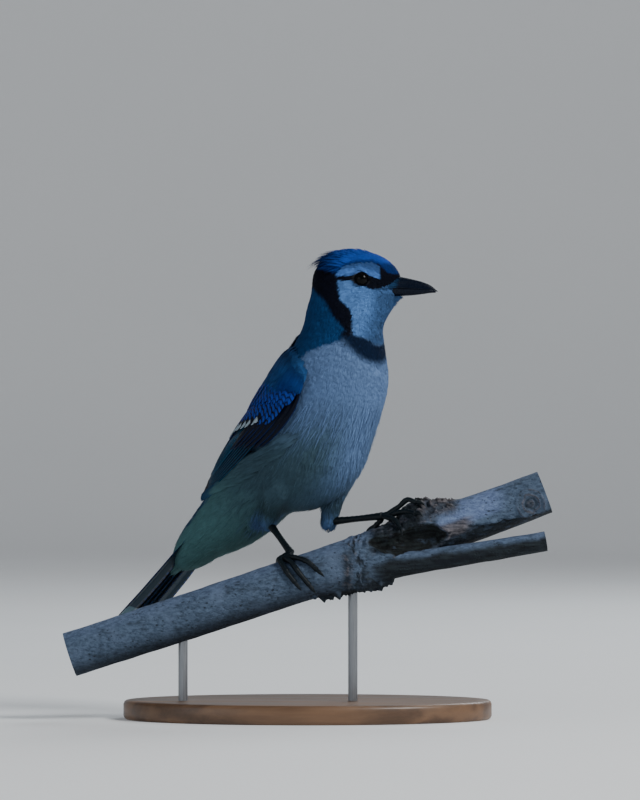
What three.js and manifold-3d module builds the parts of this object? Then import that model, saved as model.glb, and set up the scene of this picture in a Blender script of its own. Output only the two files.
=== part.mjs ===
// A blue jay, life size, standing on a cut length of forked branch that a plain display stand carries.
// Millimetres, +Z up. +X runs along the branch towards its fork, +Y is the side the tail hangs on,
// and the origin is under the middle of the stand's base.
import * as THREE from "three";
import { mergeVertices } from "three/addons/utils/BufferGeometryUtils.js";
import Module from "manifold-3d";

const wasm = await Module();
wasm.setup();

// Driving sizes
const GAP = 0.3; // between pieces that touch
const FINEST = 0.05; // steps smaller than this are evened out
const BODY_YAW = -36; // degrees about +Z, from +X: the breast is turned towards -Y
const HEAD_YAW = -8;
const NECK_AXIS = { x: 20, y: 6 }; // the upright line that the head turns on
const BLEND = 11; // how softly the body's masses run into each other
const EYE_RADIUS = 3.9;
const VANE_THICK = 0.55;
const BASE = { length: 196, width: 128, height: 10, chamfer: 2 };
const ROD_RADIUS = 2.5;
const ROD_PLACES = { left: -62, right: 28 };
const ROD_STOPS = 14; // below the top of the branch
const PERCH_SHIFT = { x: -4, y: -12 }; // from the branch's own frame to the middle of the base

const rad = THREE.MathUtils.degToRad;
const lerp = THREE.MathUtils.lerp;
const V = (x, y, z) => new THREE.Vector3(x, y, z);
const UP = V(0, 0, 1);

// A point given forward of, left of and above the floor on the neck's upright line, turned by a yaw.
function place(forward, left, height, yaw = BODY_YAW) {
  return V(forward, left, 0)
    .applyAxisAngle(UP, rad(yaw))
    .add(V(NECK_AXIS.x, NECK_AXIS.y, height));
}

// Solids
function solid(geometry) {
  const bare = new THREE.BufferGeometry().setAttribute("position", geometry.getAttribute("position"));
  if (geometry.index) bare.setIndex(geometry.index);
  const merged = mergeVertices(bare, 1e-4);
  const made = new wasm.Manifold(
    new wasm.Mesh({
      numProp: 3,
      vertProperties: new Float32Array(merged.attributes.position.array),
      triVerts: new Uint32Array(merged.index.array),
    }),
  );
  return made;
}

function join(pieces) {
  return wasm.Manifold.union(pieces);
}

function largest(shape) {
  return shape.decompose().reduce((a, b) => (a.volume() > b.volume() ? a : b));
}

function meshOf(name, shape, material) {
  const made = largest(largest(shape).simplify(FINEST)).getMesh();
  const geometry = new THREE.BufferGeometry();
  geometry.setAttribute("position", new THREE.BufferAttribute(made.vertProperties, 3));
  geometry.setIndex(new THREE.BufferAttribute(made.triVerts, 1));
  geometry.computeVertexNormals();
  const mesh = new THREE.Mesh(geometry, material);
  mesh.name = name;
  return mesh;
}

// Closes a stack of rings of equal length into one skin, with a fan at each end.
function skinOf(rings) {
  const points = [];
  const faces = [];
  const around = rings[0].length;
  rings.forEach((ring) => ring.forEach((p) => points.push(p.x, p.y, p.z)));
  for (let i = 0; i + 1 < rings.length; i++)
    for (let j = 0; j < around; j++) {
      const a = i * around + j;
      const b = i * around + ((j + 1) % around);
      faces.push(a, b, b + around, a, b + around, a + around);
    }
  for (const end of [0, rings.length - 1]) {
    const middle = rings[end].reduce((sum, p) => sum.add(p), V(0, 0, 0)).divideScalar(around);
    const hub = points.length / 3;
    points.push(middle.x, middle.y, middle.z);
    for (let j = 0; j < around; j++) {
      const a = end * around + j;
      const b = end * around + ((j + 1) % around);
      faces.push(...(end ? [a, b, hub] : [b, a, hub]));
    }
  }
  const geometry = new THREE.BufferGeometry();
  geometry.setAttribute("position", new THREE.Float32BufferAttribute(points, 3));
  geometry.setIndex(faces);
  const made = solid(geometry);
  return made.volume() < 0 ? solid(turned(geometry)) : made;
}

function turned(geometry) {
  const index = Array.from(geometry.index.array);
  for (let i = 0; i < index.length; i += 3) [index[i + 1], index[i + 2]] = [index[i + 2], index[i + 1]];
  return geometry.clone().setIndex(index);
}

// A round limb along a path: radius(t) gives the half width, wide and tall scale it sideways and upwards.
function limb(points, radius, { steps = 12, sides = 8, wide = 1, tall = 1 } = {}) {
  const path = new THREE.CatmullRomCurve3(points, false, "centripetal");
  const rings = [];
  for (let i = 0; i <= steps; i++) {
    const t = i / steps;
    const centre = path.getPoint(t);
    const along = path.getTangent(t).normalize();
    const side = V(0, 0, 1).cross(along);
    if (side.length() < 0.2) side.set(1, 0, 0).cross(along);
    side.normalize();
    const top = along.clone().cross(side);
    const r = radius(t);
    rings.push(
      Array.from({ length: sides }, (_, k) => {
        const angle = (2 * Math.PI * k) / sides;
        return centre
          .clone()
          .addScaledVector(side, Math.cos(angle) * r * wide)
          .addScaledVector(top, Math.sin(angle) * r * tall);
      }),
    );
  }
  return skinOf(rings);
}

// Values at evenly spaced stations, eased between.
function profile(values) {
  return (t) => {
    const at = Math.min(Math.max(t, 0), 1) * (values.length - 1);
    const i = Math.min(Math.floor(at), values.length - 2);
    return lerp(values[i], values[i + 1], at - i);
  };
}

// A feather vane: a thin plate along a row of points. across and normal are unit vectors at each point,
// half is the width to each side, and both faces are split into triangles alike.
function vane(row, thickness) {
  const points = [];
  const faces = [];
  const corners = [
    [-1, 1],
    [1, 1],
    [1, -1],
    [-1, -1],
  ];
  for (const { at, across, normal, half } of row)
    for (const [side, face] of corners) {
      const p = at.clone().addScaledVector(across, side * half).addScaledVector(normal, (face * thickness) / 2);
      points.push(p.x, p.y, p.z);
    }
  for (let i = 0; i + 1 < row.length; i++)
    for (let j = 0; j < 4; j++) {
      const a = i * 4 + j;
      const b = i * 4 + ((j + 1) % 4);
      const under = j === 2;
      if (under) faces.push(a, b, a + 4, b, b + 4, a + 4);
      else faces.push(a, b, b + 4, a, b + 4, a + 4);
    }
  const last = (row.length - 1) * 4;
  faces.push(1, 0, 3, 1, 3, 2);
  faces.push(last, last + 1, last + 3, last + 1, last + 2, last + 3);
  const geometry = new THREE.BufferGeometry();
  geometry.setAttribute("position", new THREE.Float32BufferAttribute(points, 3));
  geometry.setIndex(faces);
  const made = solid(geometry);
  return made.volume() < 0 ? solid(turned(geometry)) : made;
}

// The flesh: named masses, each an egg of three half sizes (along its axis, across, deep), tipped up by a
// pitch, and blended into one surface.
function mass(forward, height, [along, across, deep], pitch, yaw = BODY_YAW, left = 0) {
  const centre = place(forward, left, height, yaw);
  const axis = place(Math.cos(rad(pitch)), 0, 0, yaw).sub(place(0, 0, 0, yaw)).setZ(Math.sin(rad(pitch)));
  const side = UP.clone().cross(axis).normalize();
  const back = axis.clone().cross(side);
  return (p) => {
    const q = p.clone().sub(centre);
    const u = V(q.dot(axis) / along, q.dot(side) / across, q.dot(back) / deep);
    const w = V(u.x / along, u.y / across, u.z / deep);
    const near = u.length();
    return near < 1e-6 ? -Math.min(along, across, deep) : (near * (near - 1)) / w.length();
  };
}

const BODY_MASSES = [
  mass(-3, 177, [35, 28, 29], 64),
  mass(-18.5, 149, [40, 31, 33], 60),
  mass(-51, 123, [42, 23, 19.5], 46),
  mass(-79, 102.5, [36, 15, 12.5], 40),
  mass(3.4, 207, [25, 17.5, 20.2], 74, -22),
];
const HEAD_MASSES = [
  mass(7, 232.6, [20.5, 13, 16.5], 4, HEAD_YAW),
  mass(21.2, 235.6, [13, 9, 9.4], -25, HEAD_YAW),
  mass(14, 221, [14, 12.5, 11], 50, HEAD_YAW),
  mass(19.8, 220.2, [12.5, 8.5, 8.5], 35, HEAD_YAW),
  mass(-2.3, 217, [16, 11.5, 13.3], 80, HEAD_YAW),
];

function smoothMin(a, b, k) {
  const h = Math.min(Math.max(0.5 + (0.5 * (b - a)) / k, 0), 1);
  return lerp(b, a, h) - k * h * (1 - h);
}

function flesh(p) {
  const body = BODY_MASSES.map((m) => m(p)).reduce((a, b) => smoothMin(a, b, BLEND));
  const head = HEAD_MASSES.map((m) => m(p)).reduce((a, b) => smoothMin(a, b, BLEND / 2));
  return smoothMin(body, head, BLEND / 2);
}

// The distance from a point inside, along a direction, to where the flesh's field reaches a level.
function reach(from, direction, level = 0, field = flesh) {
  let near = 0;
  let far = 70;
  for (let i = 0; i < 24; i++) {
    const middle = (near + far) / 2;
    if (field(from.clone().addScaledVector(direction, middle)) < level) near = middle;
    else far = middle;
  }
  return near;
}

// The line through the middle of the body, from the tail's root to the middle of the head.
const HEAD_CENTRE = place(8, 0, 232, HEAD_YAW);
const SPINE = new THREE.CatmullRomCurve3(
  [
    place(-104, 0, 85),
    place(-76, 0, 103),
    place(-48, 0, 124),
    place(-24, 0, 149),
    place(-6, 0, 177),
    place(3, 0, 203),
    HEAD_CENTRE.clone(),
  ],
  false,
  "centripetal",
);

// The yaw of the body's cross-axis at a share of the spine: the neck takes up the head's turn.
function yawAt(t) {
  return lerp(BODY_YAW, HEAD_YAW, THREE.MathUtils.smoothstep(t, 0.72, 1));
}

function raysAt(t, tilt, around, level) {
  const centre = SPINE.getPoint(t);
  const along = SPINE.getTangent(t).normalize();
  const side = V(0, 1, 0).applyAxisAngle(UP, rad(yawAt(t)));
  side.addScaledVector(along, -side.dot(along)).normalize();
  const back = along.clone().cross(side);
  return Array.from({ length: around }, (_, k) => {
    const angle = (2 * Math.PI * k) / around;
    const out = back.clone().multiplyScalar(Math.cos(angle)).addScaledVector(side, Math.sin(angle));
    const way = out.multiplyScalar(Math.cos(tilt)).addScaledVector(along, Math.sin(tilt));
    return centre.clone().addScaledVector(way, reach(centre, way, level));
  });
}

function fleshSkin(level = 0, { rows = 24, around = 28, fan = 5 } = {}) {
  const rings = [];
  for (let i = fan - 2; i > 0; i--) rings.push(raysAt(0, rad((-85 * i) / (fan - 1)), around, level));
  for (let i = 0; i <= rows; i++) rings.push(raysAt(i / rows, 0, around, level));
  for (let i = 1; i <= fan; i++) rings.push(raysAt(1, rad((84 * i) / fan), around, level));
  return skinOf(rings);
}

const WHOLE = fleshSkin();
const GROWN = fleshSkin(GAP * 1.4);

// The planes that part the whole body into head, neck, torso and rump: a point on the spine and its normal.
function cutAt(t, lean = 0) {
  const at = SPINE.getPoint(t);
  const normal = SPINE.getTangent(t).normalize();
  const side = V(0, 1, 0).applyAxisAngle(UP, rad(yawAt(t)));
  normal.applyAxisAngle(side, rad(lean));
  return { normal, offset: normal.dot(at) };
}
const HEAD_CUT = cutAt(0.88, 24);
const NECK_CUT = cutAt(0.76, 14);
const RUMP_CUT = cutAt(0.3);

function above(shape, cut) {
  return shape.trimByPlane(cut.normal.toArray(), cut.offset + GAP / 2);
}

function below(shape, cut) {
  return shape.trimByPlane(cut.normal.clone().negate().toArray(), GAP / 2 - cut.offset);
}

// The head's own frame, for the eyes, bill and crest.
function onHead(forward, left, height) {
  return place(forward, left, height, HEAD_YAW);
}
function headWay(forward, left, up) {
  return onHead(forward, left, up).sub(onHead(0, 0, 0)).normalize();
}

const EYE = { forward: 14.2, height: 233.6, left: 10.2 };
const LID = { ring: 3.3, tube: 0.7, out: 2.4 };

function ball(centre, radius, segments = 10) {
  const geometry = new THREE.SphereGeometry(radius, segments, segments / 2 + 2);
  geometry.translate(centre.x, centre.y, centre.z);
  return solid(geometry);
}

const eyeCentre = (side) => onHead(EYE.forward, side * EYE.left, EYE.height);

function lid(side) {
  const ring = new THREE.TorusGeometry(LID.ring, LID.tube, 6, 16);
  const facing = headWay(0.16, side, 0.04);
  ring.applyQuaternion(new THREE.Quaternion().setFromUnitVectors(UP, facing));
  const at = eyeCentre(side).addScaledVector(facing, LID.out);
  ring.translate(at.x, at.y, at.z);
  return solid(ring);
}

// The bill: two horny halves that meet along the line of the mouth, each a row of half-round sections.
const BILL_ROWS = [24, 28, 34, 40, 46, 50, 53.4];
const CULMEN = [236.2, 236, 234.9, 233.6, 232, 230.2, 227.4];
const MOUTH_LINE = [229.3, 229.1, 228.8, 228.5, 228.1, 227.8, 226.9];
const GONYS = [224.2, 224.2, 224.6, 225, 225.7, 226.3, 226.4];
const BILL_HALF = [5.6, 5.1, 4.2, 3.2, 2.1, 1.2, 0.45];
const NOSTRIL = { forward: 30.5, left: 4.6, height: 231.6, radius: 0.9 };

function billHalf(outer, narrow, short) {
  const rings = BILL_ROWS.map((row, i) => {
    const forward = Math.min(row, BILL_ROWS.at(-1) - short);
    const edge = MOUTH_LINE[i] + Math.sign(outer[i] - MOUTH_LINE[i]) * (GAP / 2);
    return Array.from({ length: 9 }, (_, k) => {
      const angle = (Math.PI * k) / 8;
      const half = BILL_HALF[i] * narrow;
      return onHead(forward, half * Math.cos(angle), lerp(edge, outer[i], Math.sin(angle)));
    });
  });
  return skinOf(rings);
}

// The crest: rows of vanes that lie back over the crown, the hindmost lifting clear of the nape.
const CREST_ROWS = [
  { from: 54, to: 98, spread: [-18, 18], lift: 0.8 },
  { from: 74, to: 118, spread: [-38, 0, 38], lift: 1 },
  { from: 94, to: 138, spread: [-42, -15, 15, 42], lift: 2 },
  { from: 113, to: 156, spread: [-44, -22, 0, 22, 44], lift: 3.8 },
];
const CREST_HALF = profile([1.8, 4, 3.4, 0.7]);

function onCrown(back, tilt, level) {
  const way = headWay(
    Math.cos(rad(tilt)) * Math.cos(rad(back)),
    Math.sin(rad(tilt)),
    Math.cos(rad(tilt)) * Math.sin(rad(back)),
  );
  return HEAD_CENTRE.clone().addScaledVector(way, reach(HEAD_CENTRE, way, level));
}

// Rows for a vane laid on a surface: spot(u, v, level) is a point on it, and the vane runs from one (u, v)
// to another.
function laid(spot, from, to, half, level, steps = 4) {
  const row = [];
  for (let i = 0; i <= steps; i++) {
    const t = i / steps;
    const u = lerp(from[0], to[0], t);
    const v = lerp(from[1], to[1], t);
    row.push({ at: spot(u, v, level(t)), half: half(t) });
  }
  row.forEach((r, i) => {
    const t = i / steps;
    const u = lerp(from[0], to[0], t);
    const v = lerp(from[1], to[1], t);
    const along = row[Math.min(i + 1, steps)].at.clone().sub(row[Math.max(i - 1, 0)].at).normalize();
    const outward = spot(u, v, level(t) + 1).sub(r.at);
    r.across = along.clone().cross(outward).normalize();
    r.normal = r.across.clone().cross(along).normalize();
  });
  return row;
}

function crest() {
  return CREST_ROWS.flatMap(({ from, to, spread, lift }) =>
    spread.map((tilt) => {
      const rise = (t) => -0.6 + 1.2 * t + lift * t * t;
      return vane(laid(onCrown, [from, tilt], [to, tilt * 0.9], CREST_HALF, rise, 3), VANE_THICK);
    }),
  );
}

// Bristles that lie forward over the nostrils.
function bristle(side, height, long) {
  const row = [0, 0.5, 1].map((t) => ({
    at: onHead(25 + long * t, side * (5.3 - 0.5 * t), height - 0.5 * t),
    across: headWay(0, 0, 1),
    normal: headWay(0, side, 0),
    half: lerp(1.1, 0.35, t),
  }));
  return vane(row, VANE_THICK);
}

// The wings: a sheet over the folded wing, from its back edge (v 0) to its belly edge (v 1) and from the
// shoulder (u 0) to the tip (u 1), as forward, left and height. It is pushed out where the body lies over it.
const WING_EDGES = [
  [[-15.5, 6, 197], [-41, 6, 171.5], [-58.5, 6, 150], [-73.5, 5.5, 132], [-83.5, 5, 119.5]],
  [[-6, 21, 199], [-26, 27, 171], [-44, 28, 151], [-63, 20, 134.5], [-83.5, 8, 119]],
  [[0, 27, 190], [-5, 32, 165], [-21, 33, 147], [-48, 26, 131], [-83, 10.5, 117]],
];
const WING_THICK = 1.2;
const WING_CORE_END = 0.92;

function wingSheet(side) {
  const curves = WING_EDGES.map(
    (edge) => new THREE.CatmullRomCurve3(edge.map(([f, l, h]) => place(f, side * l, h)), false, "centripetal"),
  );
  return (u, v, level) => {
    const [a, b, c] = curves.map((curve) => curve.getPoint(Math.min(Math.max(u, 0), 1)));
    const p = V(0, 0, 0)
      .addScaledVector(a, (1 - v) * (1 - 2 * v))
      .addScaledVector(b, 4 * v * (1 - v))
      .addScaledVector(c, v * (2 * v - 1));
    const out = place(0.1, side * 0.6 * (0.2 + v), lerp(0.75, 0.15, v)).sub(place(0, 0, 0));
    out.add(place(-0.55 * (1 - v), 0, 0).sub(place(0, 0, 0))).normalize();
    let shortfall = 0;
    for (let i = 0; i < 6; i++) {
      const depth = WING_THICK - flesh(p.clone().addScaledVector(out, shortfall));
      if (depth > 0) shortfall += depth;
    }
    return p.addScaledVector(out, shortfall + level);
  };
}

// A wing's or tail's solid core: a plate between two levels of a sheet.
function core(spot, us, vs, top, bottom) {
  const strip = (level) => us.map((u) => vs.map((v) => spot(u, v, level(u))));
  const upper = strip(top);
  const lower = strip(bottom);
  const rings = us.map((_, i) => [...upper[i], ...lower[i].slice().reverse()]);
  return skinOf(rings);
}

// The wing's tiers of feathers, and for each the first and last feather's (u, v) at its root and at its tip.
const WING_TIERS = {
  primaries: {
    count: 5,
    half: 3.6,
    level: 0.5,
    from: [[0.42, 0.62], [0.46, 0.97]],
    to: [[0.88, 0.5], [1, 0.9]],
  },
  secondaries: {
    count: 4,
    half: 4.4,
    level: 1.2,
    from: [[0.36, 0.24], [0.4, 0.66]],
    to: [[0.8, 0.22], [0.86, 0.6]],
  },
  tertials: {
    count: 3,
    half: 4.8,
    level: 2,
    from: [[0.26, 0.04], [0.3, 0.28]],
    to: [[0.64, 0.04], [0.76, 0.22]],
  },
  greater: {
    count: 5,
    half: 5.6,
    level: 2.3,
    from: [[0.16, 0.1], [0.24, 0.92]],
    to: [[0.48, 0.08], [0.53, 0.88]],
  },
  median: {
    count: 4,
    half: 6.4,
    level: 2.7,
    from: [[0.06, 0.12], [0.1, 0.9]],
    to: [[0.29, 0.12], [0.33, 0.88]],
  },
  lesser: {
    count: 2,
    half: 8.5,
    level: 2.9,
    from: [[0.02, 0.28], [0.02, 0.72]],
    to: [[0.17, 0.26], [0.18, 0.76]],
  },
};
const VANE_SHAPE = profile([0.6, 1, 0.95, 0.3]);

function wing(side) {
  const sheet = wingSheet(side);
  const steps = (n) => Array.from({ length: n }, (_, i) => i / (n - 1));
  const stations = steps(9).map((u) => u * WING_CORE_END);
  const body = core(sheet, stations, steps(5), () => 0.6, (u) => lerp(-5, -0.9, u));
  const vanes = Object.values(WING_TIERS).flatMap(({ count, from, to, half, level }) =>
    steps(count).map((k) => {
      const start = [lerp(from[0][0], from[1][0], k), lerp(from[0][1], from[1][1], k)];
      const end = [lerp(to[0][0], to[1][0], k), lerp(to[0][1], to[1][1], k)];
      const shape = (t) => half * VANE_SHAPE(t);
      const rise = (t) => lerp(0.1, level + 0.5 * (1 - k), Math.min(2 * t, 1));
      return vane(laid(sheet, start, end, shape, rise, 3), VANE_THICK);
    }),
  );
  return join([body, ...vanes]).subtract(GROWN);
}

// The tail: twelve vanes under one another, the middle pair on top, from a common root.
const TAIL = {
  count: 12,
  root: [-92, 98.5],
  tip: [-149.5, 44.7],
  spreadRoot: 2,
  spreadTip: 2.6,
  half: 6.6,
  level: 2.4,
  drop: 0.8,
  round: 9,
};

function tailSpot(u, v, level) {
  const forward = lerp(TAIL.root[0], TAIL.tip[0], u);
  const height = lerp(TAIL.root[1], TAIL.tip[1], u) - 1.6 * Math.sin(Math.PI * Math.min(u, 1));
  const pitch = Math.atan2(TAIL.root[1] - TAIL.tip[1], TAIL.root[0] - TAIL.tip[0]);
  const rise = level - 0.006 * v * v;
  return place(forward - rise * Math.sin(pitch), v, height + rise * Math.cos(pitch));
}

function tail() {
  const long = Math.hypot(TAIL.root[0] - TAIL.tip[0], TAIL.root[1] - TAIL.tip[1]);
  const outermost = (TAIL.count - 1) / 2;
  const vanes = Array.from({ length: TAIL.count }, (_, k) => {
    const i = k - outermost;
    const end = 1 - (TAIL.round * (i / outermost) ** 2) / long;
    const level = TAIL.level - TAIL.drop * Math.abs(i);
    const half = profile([0.5, 0.8, 1, 1, 0.5]);
    const row = laid(
      tailSpot,
      [0, i * TAIL.spreadRoot],
      [end, i * TAIL.spreadTip],
      (t) => TAIL.half * half(t),
      () => level - 0.05 * i,
      4,
    );
    return vane(row, VANE_THICK);
  });
  const root = core(tailSpot, [-0.12, 0.06, 0.24], [-13, -6, 0, 6, 13], () => 2.6, () => -2.6);
  return join([root, ...vanes]);
}

// The branch. Its axis rises towards the fork; the thin limb leaves it on the side of the breast.
const BRANCH_POINTS = [
  [-122, 0, 34.5],
  [-60, 0, 54.8],
  [0, 0, 74.7],
  [30, 0, 84.8],
  [56, 1, 93.8],
  [80, 2, 102.1],
  [106, 3, 111.3],
  [130, 4, 120.3],
];
const BRANCH_RADII = [11.8, 12, 12.2, 12.2, 12.3, 12.8, 12.8, 12.6, 12.4, 12.2, 12];
const LIMB_POINTS = [
  [30, -2, 78.5],
  [40, -4, 80],
  [48.8, -6, 82],
  [66, -7.5, 84.6],
  [87, -8.5, 87.9],
  [108, -8.5, 91.2],
  [130, -8, 95],
];
const LIMB_RADII = [9.5, 8.6, 6.9, 6.1, 5.7, 5.4, 5.2];
// The swollen underside of the fork, the crusted knob on top of it, and the hollow between knob and limb.
const COLLAR = {
  points: [[4, -1, 74.5], [18, -2, 75.5], [34, -3, 77.5], [46, -4, 79.5]],
  radii: [8, 8.8, 9.4, 6],
};
const KNOB = {
  points: [[46, 1, 98], [56, 1, 100.5], [64, 1, 103], [72, 2, 104], [82, 3, 103]],
  radii: [5, 8.6, 13.2, 12.4, 10],
};
const HOLLOW = {
  points: [[43, -14, 90], [57, -13, 92.5], [71, -13, 96.5]],
  radii: [1.5, 4.6, 2],
};
const branchPath = new THREE.CatmullRomCurve3(BRANCH_POINTS.map((p) => V(...p)), false, "centripetal");

function lump({ points, radii }, grow = 0) {
  const radius = profile(radii);
  return limb(points.map((p) => V(...p)), (t) => radius(t) + grow, { steps: 6, sides: 12, wide: 0.94 });
}

function branch(grow = 0) {
  const radius = profile(BRANCH_RADII);
  const stem = limb(BRANCH_POINTS.map((p) => V(...p)), (t) => radius(t) + grow, { steps: 15, sides: 16 });
  return join([stem, lump(COLLAR, grow), lump(KNOB, grow)]).subtract(lump(HOLLOW, -grow));
}

function sideLimb(grow = 0) {
  const radius = profile(LIMB_RADII);
  return limb(LIMB_POINTS.map((p) => V(...p)), (t) => radius(t) + grow, { steps: 12, sides: 12 });
}

// A spot on the branch: x along it, an angle round it (0 faces -Y, 90 is the top) and a height off its bark.
function onBranch(x, angle, off) {
  let low = 0;
  let high = 1;
  for (let i = 0; i < 20; i++) {
    const middle = (low + high) / 2;
    if (branchPath.getPoint(middle).x < x) low = middle;
    else high = middle;
  }
  const centre = branchPath.getPoint(low);
  const along = branchPath.getTangent(low).normalize();
  const near = V(0, -1, 0);
  const top = near.clone().cross(along).normalize();
  const out = near.multiplyScalar(Math.cos(rad(angle))).addScaledVector(top, Math.sin(rad(angle)));
  return centre.addScaledVector(out, profile(BRANCH_RADII)(low) + off);
}

// Torn bark round the fork: thick plates that stand off the wood.
const FLAKE_THICK = 1.6;
const BARK_FLAKES = [
  { x: 80, angle: 94, turn: 10, long: 9, half: 3.6, off: 0.5, lift: 3.6 },
  { x: 86, angle: 76, turn: -6, long: 12, half: 3.4, off: 0, lift: 3 },
  { x: 84, angle: 116, turn: 6, long: 10, half: 4, off: 0, lift: 3 },
  { x: 92, angle: 48, turn: 8, long: 15, half: 3.2, off: 0, lift: 2.4 },
  { x: 96, angle: 16, turn: -8, long: 14, half: 4, off: 0, lift: 2.6 },
  { x: 36, angle: -92, turn: 8, long: -13, half: 3.6, off: 3.5, lift: 2.2 },
  { x: 38, angle: -66, turn: -6, long: -11, half: 3.4, off: 3, lift: 1.6 },
];

function flake({ x, angle, turn, long, half, off, lift }) {
  const spot = (u, v, level) => onBranch(x + u, angle + v, level);
  const shape = profile([0.9, 1, 0.8, 0.35]);
  const rise = (t) => off - 0.5 + lift * t * t;
  return vane(laid(spot, [0, 0], [-long, turn], (t) => half * shape(t), rise, 3), FLAKE_THICK);
}

const FLAKES = join(BARK_FLAKES.map(flake)).subtract(sideLimb(GAP));
const BRANCH = join([branch(), FLAKES]);
const BRANCH_GROWN = join([branch(GAP), FLAKES.translate([0, 0, GAP]), FLAKES.translate([-GAP, 0, 0])]);

// Legs: a feathered thigh out of the body, a bare shank and a foot whose toes go round the branch.
const TOE_RADIUS = 1.45;
const SOLE_RADIUS = 2.3;
const LEGS = {
  right: {
    knee: place(-24.5, -19, 124),
    thigh: [8.5, 7, 5.2, 4.5, 3.8],
    ankle: V(-16.6, 23, 104),
    sole: V(-5, 1, 88.6),
    toes: [
      [[-1.5, 74], [2.5, 54], [6.8, 32], [9.6, 9]],
      [[-3.5, 74], [-1.4, 46], [0.8, 14], [3.6, -18]],
      [[-6, 76], [-6, 50], [-4.6, 20], [-2.8, -2]],
      [[-6, 98], [-8, 122], [-10, 146], [-11, 166]],
    ],
  },
  left: {
    knee: place(-9.2, 11, 127),
    thigh: [8.5, 7, 5.4, 4.8, 4.2],
    ankle: V(15.4, 20, 104.6),
    sole: V(43.8, 1.5, 108),
    toes: [
      [V(48, 0, 110), V(52.5, -1.5, 113.2), V(57, -3.5, 116.8), V(61.5, -6, 115.4)],
      [V(48, -1, 108.6), V(52.5, -4, 110.2), V(57, -7, 110.6), V(61, -11.3, 109.6)],
      [V(46.4, -2, 107.4), V(49.4, -5.5, 106.6), V(51.6, -8.6, 104.6), V(52.6, -11.2, 102.2)],
      [V(43, 3, 106), V(41.6, 3.2, 104.4), V(40.2, 3.2, 103), V(38.8, 3, 101.9)],
    ],
  },
};

function thigh({ knee, thigh: radii, ankle }, grow = 0) {
  const radius = profile(radii);
  const middle = knee.clone().lerp(ankle, 0.5);
  const tip = ankle.clone().lerp(knee, -0.1);
  return limb([knee, middle, tip], (t) => radius(t) + grow, { steps: 8, sides: 12 });
}

function shank(leg) {
  const bones = profile([2.6, 2, 1.65, 1.6, 1.65, 1.8, 2.1]);
  const scutes = (t) => 0.12 * ((t * 9) % 1);
  return limb([leg.ankle, leg.ankle.clone().lerp(leg.sole, 0.5), leg.sole], (t) => bones(t) + scutes(t), {
    steps: 9,
    sides: 8,
  });
}

function toe(route, sole) {
  const pads = profile([1.25, 1, 1.15, 0.9, 1.05, 0.85, 0.95]);
  const spot = (p, off) => {
    if (p.isVector3) return p.clone().add(V(0, 0, off));
    return onBranch(p[0], p[1], TOE_RADIUS + GAP + off);
  };
  const points = route.map((p) => spot(p, 0));
  const bare = limb([sole, ...points], (t) => TOE_RADIUS * pads(t), { steps: 8, sides: 6 });
  const end = points.at(-1);
  const along = end.clone().sub(points.at(-2)).normalize();
  const outward = spot(route.at(-1), 8).sub(end).normalize();
  const claw = [
    end.clone().addScaledVector(along, -1),
    end.clone().addScaledVector(along, 1.8).addScaledVector(outward, 0.7),
    end.clone().addScaledVector(along, 3.9).addScaledVector(outward, 0.6),
    end.clone().addScaledVector(along, 5.6).addScaledVector(outward, -0.7),
  ];
  return join([bare, limb(claw, profile([1.15, 1.05, 0.7, 0.25]), { steps: 3, sides: 5 })]);
}

function legPieces(side, leg) {
  const toes = leg.toes.map((route) => toe(route, leg.sole));
  const bare = join([shank(leg), ball(leg.sole, SOLE_RADIUS, 10), ...toes]);
  const bared = bare.subtract(thigh(leg, GAP)).subtract(GROWN).subtract(BRANCH_GROWN);
  return [
    meshOf(`leg_${side}_thigh`, thigh(leg).subtract(GROWN), GREY),
    meshOf(`leg_${side}_foot`, bared, SHANK),
  ];
}

// The stand: an oval base, and two rods up to the branch.
function base() {
  const outline = new THREE.Shape();
  const { length, width, height, chamfer } = BASE;
  outline.absellipse(0, 0, length / 2 - chamfer, width / 2 - chamfer, 0, 2 * Math.PI);
  const geometry = new THREE.ExtrudeGeometry(outline, {
    depth: height - 2 * chamfer,
    bevelSize: chamfer,
    bevelThickness: chamfer,
    bevelSegments: 1,
    curveSegments: 16,
  });
  geometry.translate(-PERCH_SHIFT.x, -PERCH_SHIFT.y, chamfer);
  return solid(geometry);
}

function rod(x) {
  const bottom = BASE.height + GAP;
  const top = onBranch(x, 90, 0).z;
  const geometry = new THREE.CylinderGeometry(ROD_RADIUS, ROD_RADIUS, top - bottom, 16);
  geometry.rotateX(Math.PI / 2).translate(x, 0, (top + bottom) / 2);
  return solid(geometry).subtract(branch(GAP)).trimByPlane([0, 0, -1], -(top - ROD_STOPS));
}


function material(color, roughness = 0.8, metalness = 0) {
  return new THREE.MeshStandardMaterial({ color, roughness, metalness });
}
const BLUE = material(0x3f63b5);
const GREY = material(0xb9bcc4);
const WHITE = material(0xd8dadc);
const HORN = material(0x1c1f24, 0.4);
const SHANK = material(0x23262b, 0.6);
const EYE_BLACK = material(0x0b0806, 0.1);
const BARK = material(0x6d6a70, 0.9);
const WOOD = material(0x5a3c26, 0.5);
const STEEL = material(0xa9adb2, 0.35, 1);

const sockets = join([1, -1].map((side) => ball(eyeCentre(side), EYE_RADIUS + GAP, 16)));
const bristles = [1, -1].flatMap((side) => [bristle(side, 232.6, 9), bristle(side, 230.9, 8)]);
const skull = join([above(WHOLE, HEAD_CUT), lid(1), lid(-1), ...crest(), ...bristles]).subtract(sockets);
const BRISTLE_ROOM = [[0, 0, GAP], [0, 0, -GAP], [GAP, 0, 0]];
const HEAD_GROWN = join([GROWN, ...BRISTLE_ROOM.flatMap((way) => bristles.map((b) => b.translate(way)))]);
const nostrils = join(
  [1, -1].map((side) => {
    const at = onHead(NOSTRIL.forward, side * NOSTRIL.left, NOSTRIL.height);
    return ball(at, NOSTRIL.radius, 8);
  }),
);

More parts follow.
